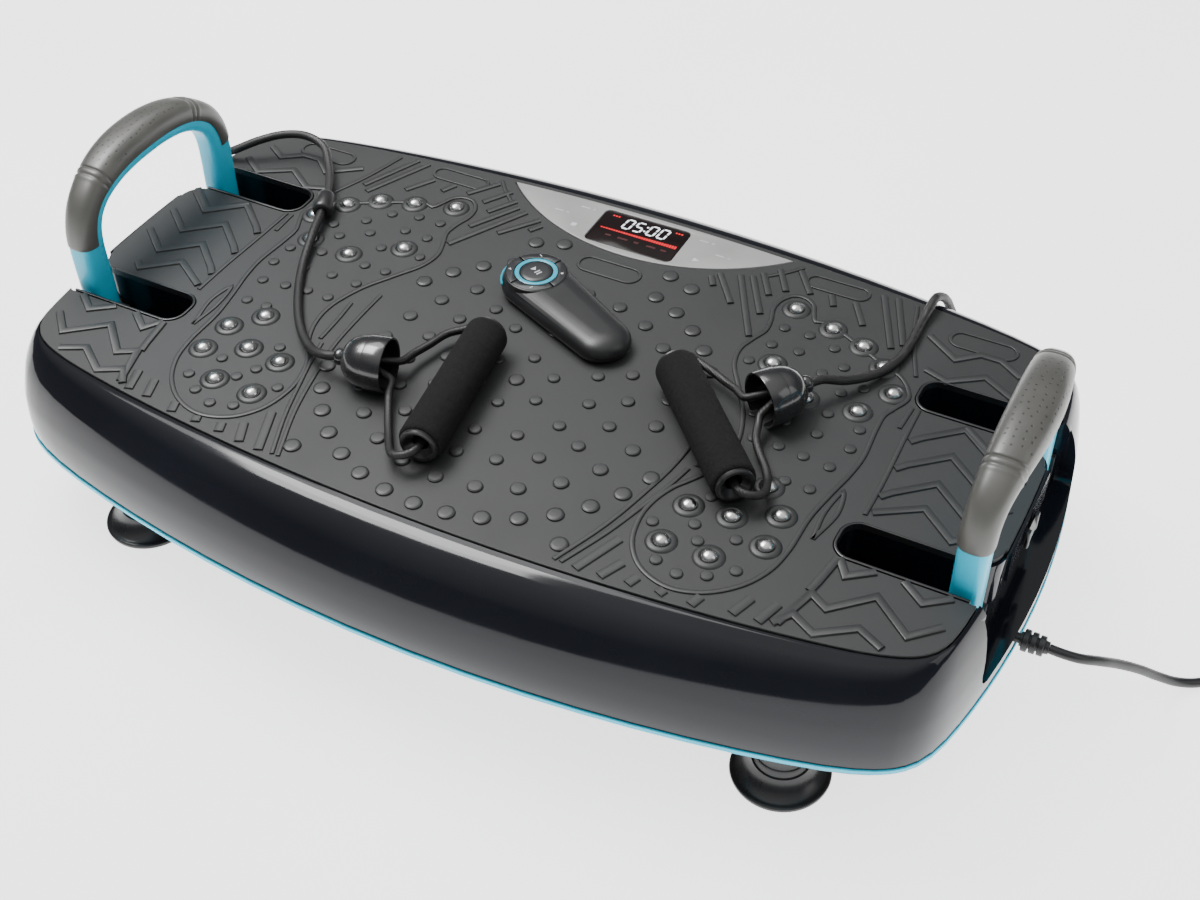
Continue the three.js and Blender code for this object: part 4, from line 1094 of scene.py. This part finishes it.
def make_handle(name, side):
    body = f"{name}_handle"
    bow = sweep(f"{name}_bow", bow_path(side), lambda s, total, p: frame_section(p, side))
    bores = [place(lathe("bore", [(0, -20), (4.3, -20), (4.3, 20), (0, 20)], 24), side * HINGE_X,
                   row * SLOT_Y, HINGE_Z, tip=ALONG_Y) for _, row in ROWS]
    boolean(bow, bores)
    dress(smooth(bow, 40), CYAN, body, [f"{name}_handle_frame"])
    cover = [p for p in bow_path(side, 0.8) if p.z > GRIP_FROM]
    grip = sweep(f"{name}_grip", cover, lambda s, total, p: grip_section(s, total, p, side))
    dress(smooth(grip, 50), GRIP, body, [f"{name}_handle_grip"])


def make_catch_guides():
    """Two dark ribs that flank the spring catch on each end wall."""
    for name, side in SIDES:
        ribs = []
        for _, row in ROWS:
            plan = rounded_rect(3.6, 5.0, 1.2, 3, side * 371.6, row * 9.5)
            ribs.append(bake(bevel(prism("rib", plan, 125.0, 139.5), 0.7, 2)))
        dress(smooth(join(f"{name}_catch_guide", ribs), 40), BLACK, "base")


# ---- Feet ----
FOOT_X, FOOT_Y = 268.0, 163.0


def make_feet():
    bell = [(0, 0), (33, 0), (34.5, 0.7), (35, 2.2), (34.7, 3.4), (33.7, 4.2), (32.4, 4.3),
            (30.4, 5.3), (26.2, 8.2), (23, 12), (21.4, 15.4), (20.8, 17.4), (19.4, 18), (19, 19)]
    post = [(19, 24), (18.2, 24.6), (18.2, 25.4), (19, 26), (19, 46.9), (18.4, 47.6), (0, 47.6)]
    for name, side in SIDES:
        for row_name, row in ROWS:
            foot = lathe(f"{name}_{row_name}_rubber", bell + post)
            place(foot, side * FOOT_X, row * FOOT_Y)
            dress(smooth(foot, 35), FOOT, "base", [f"{name}_{row_name}_foot"])


# ---- Remote ----
REMOTE_HEAD = (-37.0, 60.0)
REMOTE_TAIL = (38.5, 21.8)
HEAD_RADIUS = 27.0
TAIL_RADIUS = 22.0
REMOTE_TURN = math.atan2(REMOTE_TAIL[1] - REMOTE_HEAD[1], REMOTE_TAIL[0] - REMOTE_HEAD[0])
REMOTE_LENGTH = math.hypot(REMOTE_TAIL[0] - REMOTE_HEAD[0], REMOTE_TAIL[1] - REMOTE_HEAD[1])
REMOTE_LOW = DECK + GAP
FACE = REMOTE_LOW + 18.6
WELL_FLOOR = FACE - 5.5  # below the keys, which travel 0.8 down
KEY_LOW = FACE - 3.6
WELL_RADIUS = 12.8
TRACK_INNER, TRACK_OUTER = 16.7, 23.2


def teardrop(inset):
    """The remote seen from above, along X from the middle of its head."""
    head, tail = HEAD_RADIUS - inset, TAIL_RADIUS - inset
    lean = math.degrees(math.acos((HEAD_RADIUS - TAIL_RADIUS) / REMOTE_LENGTH))
    return arc(0, 0, head, lean, 360 - lean, 40) + arc(REMOTE_LENGTH, 0, tail, -lean, lean, 20)


def remote_layers(name, levels):
    rings = [[(x, y, REMOTE_LOW + z) for x, y in teardrop(inset)] for z, inset in levels]
    return loft(name, rings)


def on_remote(obj):
    return place(obj, *REMOTE_HEAD, 0, REMOTE_TURN)


def make_remote():
    lower = remote_layers("remote_lower", [(0, 6), (0.6, 4), (2, 2), (4, 0.7), (7, 0)])
    dress(smooth(on_remote(lower), 40), REMOTE, "remote", ["remote_base"])
    upper = remote_layers("remote_upper", [(7.3, 0), (9.4, 0.35), (11.6, 1.3), (13.6, 2.9),
                                           (15.3, 5.1), (16.6, 7.8), (17.4, 10.6), (17.9, 13.4),
                                           (18.15, 15.8), (18.2, 17.4)])
    disc = lathe("disc", [(0, REMOTE_LOW + 12), (24.4, REMOTE_LOW + 12), (24.4, FACE - 0.9),
                          (23.9, FACE - 0.2), (TRACK_OUTER, FACE), (0, FACE)], 72)
    boolean(upper, [disc], "UNION")
    well = lathe("well", [(WELL_RADIUS, WELL_FLOOR), (0, WELL_FLOOR), (0, FACE + 5),
                          (WELL_RADIUS, FACE + 5), (WELL_RADIUS, WELL_FLOOR)])
    track = lathe("track", [(TRACK_INNER, WELL_FLOOR), (TRACK_OUTER, WELL_FLOOR),
                            (TRACK_OUTER, FACE + 5), (TRACK_INNER, FACE + 5),
                            (TRACK_INNER, WELL_FLOOR)], 72)
    boolean(upper, [well, track])
    dress(smooth(on_remote(upper), 40), REMOTE, "remote", ["remote_top"])
    ring = lathe("key_ring", [(13.1, FACE - 1), (13.1, FACE + 0.3), (13.6, FACE + 0.6),
                          (16.0, FACE + 0.6), (16.5, FACE + 0.3), (16.5, FACE - 1),
                          (13.1, FACE - 1)], 72)
    dress(smooth(on_remote(ring), 40), RING, "remote")
    accent = [(*polar(0, 0, 26.9, a), REMOTE_LOW + 12.8) for a in range(150, 251, 5)]
    glow = cord_curve("accent", accent, 0.9)
    glow.data.transform(Matrix.Translation(Vector((*REMOTE_HEAD, 0)) * MM)
                        @ Matrix.Rotation(REMOTE_TURN, 4, "Z"))
    dress(glow, RING, "remote")


def make_keys():
    """The centre key and the ring of four, each with a plain mark."""
    key = lathe("centre_key", [(0, KEY_LOW), (12.4, KEY_LOW), (12.4, FACE + 0.2),
                               (11.9, FACE + 0.7), (9, FACE + 1.0), (0, FACE + 1.1)])
    dress(smooth(on_remote(key), 40), REMOTE_DARK, "remote_centre_key",
          ["remote_centre_key"])
    top = FACE + 1.12
    plans = [[(-4.2, -2.6), (-4.2, 2.6), (-0.6, 0)],
             *[rounded_rect(1.2, 5.0, 0.3, 2, x, 0) for x in (1.4, 3.9)]]
    sign = [ink("icon", plan, top, top + 0.08) for plan in plans]
    icon = on_remote(join("centre_key_icon", sign))
    dress(icon, WHITE, "remote_centre_key")
    for k in range(4):
        start, end = 90 * k + 1.6, 90 * (k + 1) - 1.6
        rim = arc(0, 0, 23.0, start, end, 20) + arc(0, 0, 17.0, end, start, 20)
        sector = prism(f"ring_key_{k + 1}", rim, KEY_LOW, FACE + 0.5)
        bake(bevel(sector, 0.4, 2, 50))
        body = f"remote_ring_key_{k + 1}"
        dress(smooth(on_remote(sector), 40), REMOTE_DARK, body, [body])
        x, y = polar(0, 0, 20, 90 * k + 45)
        shapes = [arc(x, y, 1.1, 0, 345, 15), rounded_rect(2.8, 0.8, 0.3, 2, x, y),
                  [(x - 1.2, y - 1.2), (x - 1.2, y + 1.2), (x + 1.3, y)],
                  rounded_rect(0.8, 2.8, 0.3, 2, x, y)]
        mark = ink(f"ring_key_mark_{k + 1}", shapes[k], FACE + 0.52, FACE + 0.6)
        dress(on_remote(mark), WHITE, body)


# ---- Bands ----
def make_bell(name, at, heading):
    """A hollow bell, cut flat where it lies on the tread."""
    outer = [(4.2, 0), (5.8, 0.3), (6.4, 1.2), (6.4, 4.4), (5.9, 5.4), (7.4, 6.1), (11.4, 8.0),
             (15.2, 11.6), (17.9, 16.2), (19.2, 20.8), (19.6, 24), (19.7, 25.6), (20.4, 25.9),
             (20.6, 26.6), (20.7, 33), (20.7, 39.8), (20.3, 40.7), (19.5, 41), (18.8, 40.4),
             (18.5, 38)]
    inner = [(18.2, 27), (17.4, 22), (14, 17), (9, 15), (4.2, 14.4), (4.2, 0)]
    bell = place(lathe(f"{name}_bell", outer + inner, 72), *at, BELL_Z, heading, ALONG_X)
    flat = prism("flat", rounded_rect(120, 120, 1.0, 2, *at), 120, DECK + GAP)
    boolean(bell, [flat])
    dress(smooth(bell, 35), BELL, "base", [f"{name}_band_bell"])


def make_foam(name, at, heading):
    half = [(9, -60), (9.4, -61.6), (10.6, -62), (14.2, -62), (15.6, -61.2), (16, -59), (16, -20)]
    foam = lathe(f"{name}_foam", [*mirrored(half, [(15.8, 0)]), half[0]], 72)
    place(foam, *at, FOAM_Z, heading, ALONG_X)
    dress(smooth(foam, 60), FOAM, "base", [f"{name}_band_foam"])


def make_core(name, at, heading):
    """The tube in a foam grip, with a rounded collar at each end."""
    end = FOAM_HALF + 2.5
    half = [(6.2, 4 - end), (8.0, 2.6 - end), (9.4, 0.8 - end), (10.6, -0.7 - end), (12, -1 - end),
            (13.3, -0.6 - end), (13.9, 0.4 - end), (13.7, -62.4), (8.8, -62.3)]
    core = lathe(f"{name}_core", [(6.2, -40), *mirrored(half), (6.2, -40)], 56)
    place(core, *at, FOAM_Z, heading, ALONG_X)
    dress(smooth(core, 35), BLACK, "base", [f"{name}_band_core"])


SLIDER_AT = (-241.6, 73.9, ON_DECK + 5.1)
SLIDER_TURN = math.atan2(-24, 10)  # the way the band runs there


def make_slider():
    """The adjuster on the left band."""
    half = [(4.1, -11), (6.4, -11), (7.6, -10), (8.3, -7.5)]
    body = lathe("slider", [*mirrored(half, [(8.5, 0)]), half[0]], 40)
    place(body, *SLIDER_AT, SLIDER_TURN, ALONG_X)
    dress(smooth(body, 40), BLACK, "base", ["left_band_slider"])


def make_cords():
    dress(lead, LEAD, "base", ["power_cord", "power_coil"])
    for name, _ in SIDES:
        dress(bands[name], BRAID, "base", [f"{name}_band_cord"])
        dress(loops[name], BRAID, "base", [f"{name}_band_loop"])
    make_relief_boot()
    plug = make_plug()


def make_relief_boot():
    """The ribbed sleeve where the lead leaves the casing."""
    profile = [(0, 0), (3.6, 0), (3.6, 4.4), (5.2, 4.7), (5.2, 6.2)]
    for k in range(3):
        at = 6.4 + 5.3 * k
        r = 7.8 - 0.35 * k
        profile += [(r - 0.4, at), (r, at + 0.4), (r, at + 3.6), (r - 0.4, at + 4.0),
                    (5.1 - 0.2 * k, at + 4.1), (5.1 - 0.2 * k, at + 5.2)]
    profile += [(4.5, 22.4), (4.3, RELIEF["length"]), (0, RELIEF["length"])]
    boot = place(lathe("strain_boot", profile, 40), RELIEF["x"], RELIEF["y"], RELIEF["z"],
                 tip=ALONG_X)
    dress(smooth(boot, 35), LEAD, "base", ["strain_relief"])


def make_plug():
    """A flat two-pin plug that lies on the coil where the lead ends."""
    end = LEAD_PATH[-1]
    heading = math.atan2(*(end - LEAD_PATH[-3]).to_2d().yx)
    rings = []
    for u, half, tall in ((-1, 3.6, 3.6), (0, 5, 4.6), (6, 5.8, 5.2), (9, 8, 6), (18, 11, 6.6),
                          (30, 12.2, 6.8), (33, 12, 6.6), (33.6, 11.4, 6.2)):
        rings.append([(u, y, z) for y, z in oval(half, tall, 32, 3.2)])
    body = loft("plug_body", rings)
    pins = []
    for _, row in ROWS:
        pin = lathe("pin", [(0, 0), (2.0, 0), (2.0, 17), (1.2, 19), (0, 19.4)], 20)
        pins.append(place(pin, 33, row * 9.025, 0, tip=ALONG_X))
    plug = place(join("plug", [body, *pins]), end.x, end.y, end.z, heading)
    dress(smooth(plug, 40), PAN, "base", ["power_plug"])
    return plug


# ---- CAD pieces that show as they are ----
CAD_LOOKS = {"control_board": BOARD, "power_board": BOARD, "motor_body": STEEL,
             "motor_bracket": CASTING, "motor_shaft": STEEL, "drive_belt": LEAD,
             "eccentric_shaft": STEEL, "shaft_pulley": CASTING, "flyweight_left": CASTING,
             "flyweight_right": CASTING, "bearing_block_left": CASTING,
             "bearing_block_right": CASTING}
for end_name, _ in SIDES:
    CAD_LOOKS[f"{end_name}_handle_catch"] = CATCH
    for row_label, _ in ROWS:
        CAD_LOOKS[f"{end_name}_{row_label}_slide_block"] = BLACK
        CAD_LOOKS[f"{end_name}_{row_label}_pivot_pin"] = STEEL


def dress_cad():
    """Materials for the CAD nodes. Those in spare are hidden behind finer pieces."""
    spare = {"upper_cover": GLOSS, "base_pan": PAN, "trim_band": CYAN, "deck_mat": TREAD}
    for name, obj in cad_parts.items():
        obj.data.materials.clear()
        obj.data.materials.append(CAD_LOOKS.get(name, spare.get(name, BLACK)))
        if name in CAD_LOOKS:
            bevel(obj, 0.5, 2, 35)


# ---- Studio ----
FLOOR_HALF = 9000.0


def area(name, spot, aim, size, power):
    data = bpy.data.lights.new(name, "AREA")
    data.shape = "RECTANGLE"
    data.size, data.size_y = size
    data.energy = power
    obj = add_object(name, data)
    obj.location = spot
    obj.rotation_euler = (Vector(aim) - Vector(spot)).to_track_quat("-Z", "Y").to_euler()
    return obj


def make_sky():
    """Dim near the horizon and bright overhead, so that gloss shows a dark and a pale band."""
    world = bpy.data.worlds.new("studio")
    world.use_nodes = True
    tree = world.node_tree
    coords = tree.nodes.new("ShaderNodeTexCoord")
    split = tree.nodes.new("ShaderNodeSeparateXYZ")
    ramp = tree.nodes.new("ShaderNodeValToRGB")
    low, high = ramp.color_ramp.elements
    low.position, high.position = 0.5, 0.92
    low.color, high.color = (0.16, 0.165, 0.175, 1), (1, 1, 1, 1)
    tree.links.new(coords.outputs["Generated"], split.inputs["Vector"])
    tree.links.new(split.outputs["Z"], ramp.inputs["Fac"])
    background = tree.nodes["Background"]
    tree.links.new(ramp.outputs["Color"], background.inputs["Color"])
    socket(background, "Strength", 1.3)
    bpy.context.scene.world = world


def make_studio():
    sh = Shader("floor_paper")
    cloudy = sh.noise(3.0, 3.0)
    tone = sh.ramp(cloudy, (0.88, 0.88, 0.88), (0.92, 0.92, 0.92))
    sh.connect("Base Color", tone)
    sh.connect("Emission Color", tone)
    sh.connect("Normal", sh.bump(sh.noise(500.0), 0.03, 0.0002))
    socket(sh.principled, "Emission Strength", 2.3)
    socket(sh.principled, "Roughness", 0.7)
    corners = [(x * FLOOR_HALF, y * FLOOR_HALF, 0) for x, y in ((-1, -1), (1, -1), (1, 1), (-1, 1))]
    floor = mesh_object("floor", corners, [(0, 1, 2, 3)])
    floor.data.materials.append(sh.material)
    make_sky()
    area("key", (-0.8, 0.4, 1.8), (0, 0, 0.1), (1.4, 1.0), 24)
    sheen = area("overhead", (-0.95, -0.1, 2.0), (-0.3, -0.1, 0.1), (1.1, 0.8), 60)
    sheen.visible_diffuse = False
    area("right_fill", (2.0, 0.2, 1.2), (0.2, 0, 0.1), (0.9, 1.2), 6)


make_casing()
make_trim()
make_pan()
make_tread()
make_relief()
make_magnets()
make_slot_rims()
make_panel()
make_readout()
make_legends()
for side_name, side_sign in SIDES:
    make_handle(side_name, side_sign)
make_catch_guides()
make_feet()
make_remote()
make_keys()
for side_name, bell_at, foam_at in (("left", LEFT_BELL, LEFT_FOAM),
                                    ("right", RIGHT_BELL, RIGHT_FOAM)):
    make_bell(side_name, *bell_at)
    make_foam(side_name, *foam_at)
    make_core(side_name, *foam_at)
make_slider()
make_cords()
dress_cad()
make_studio()
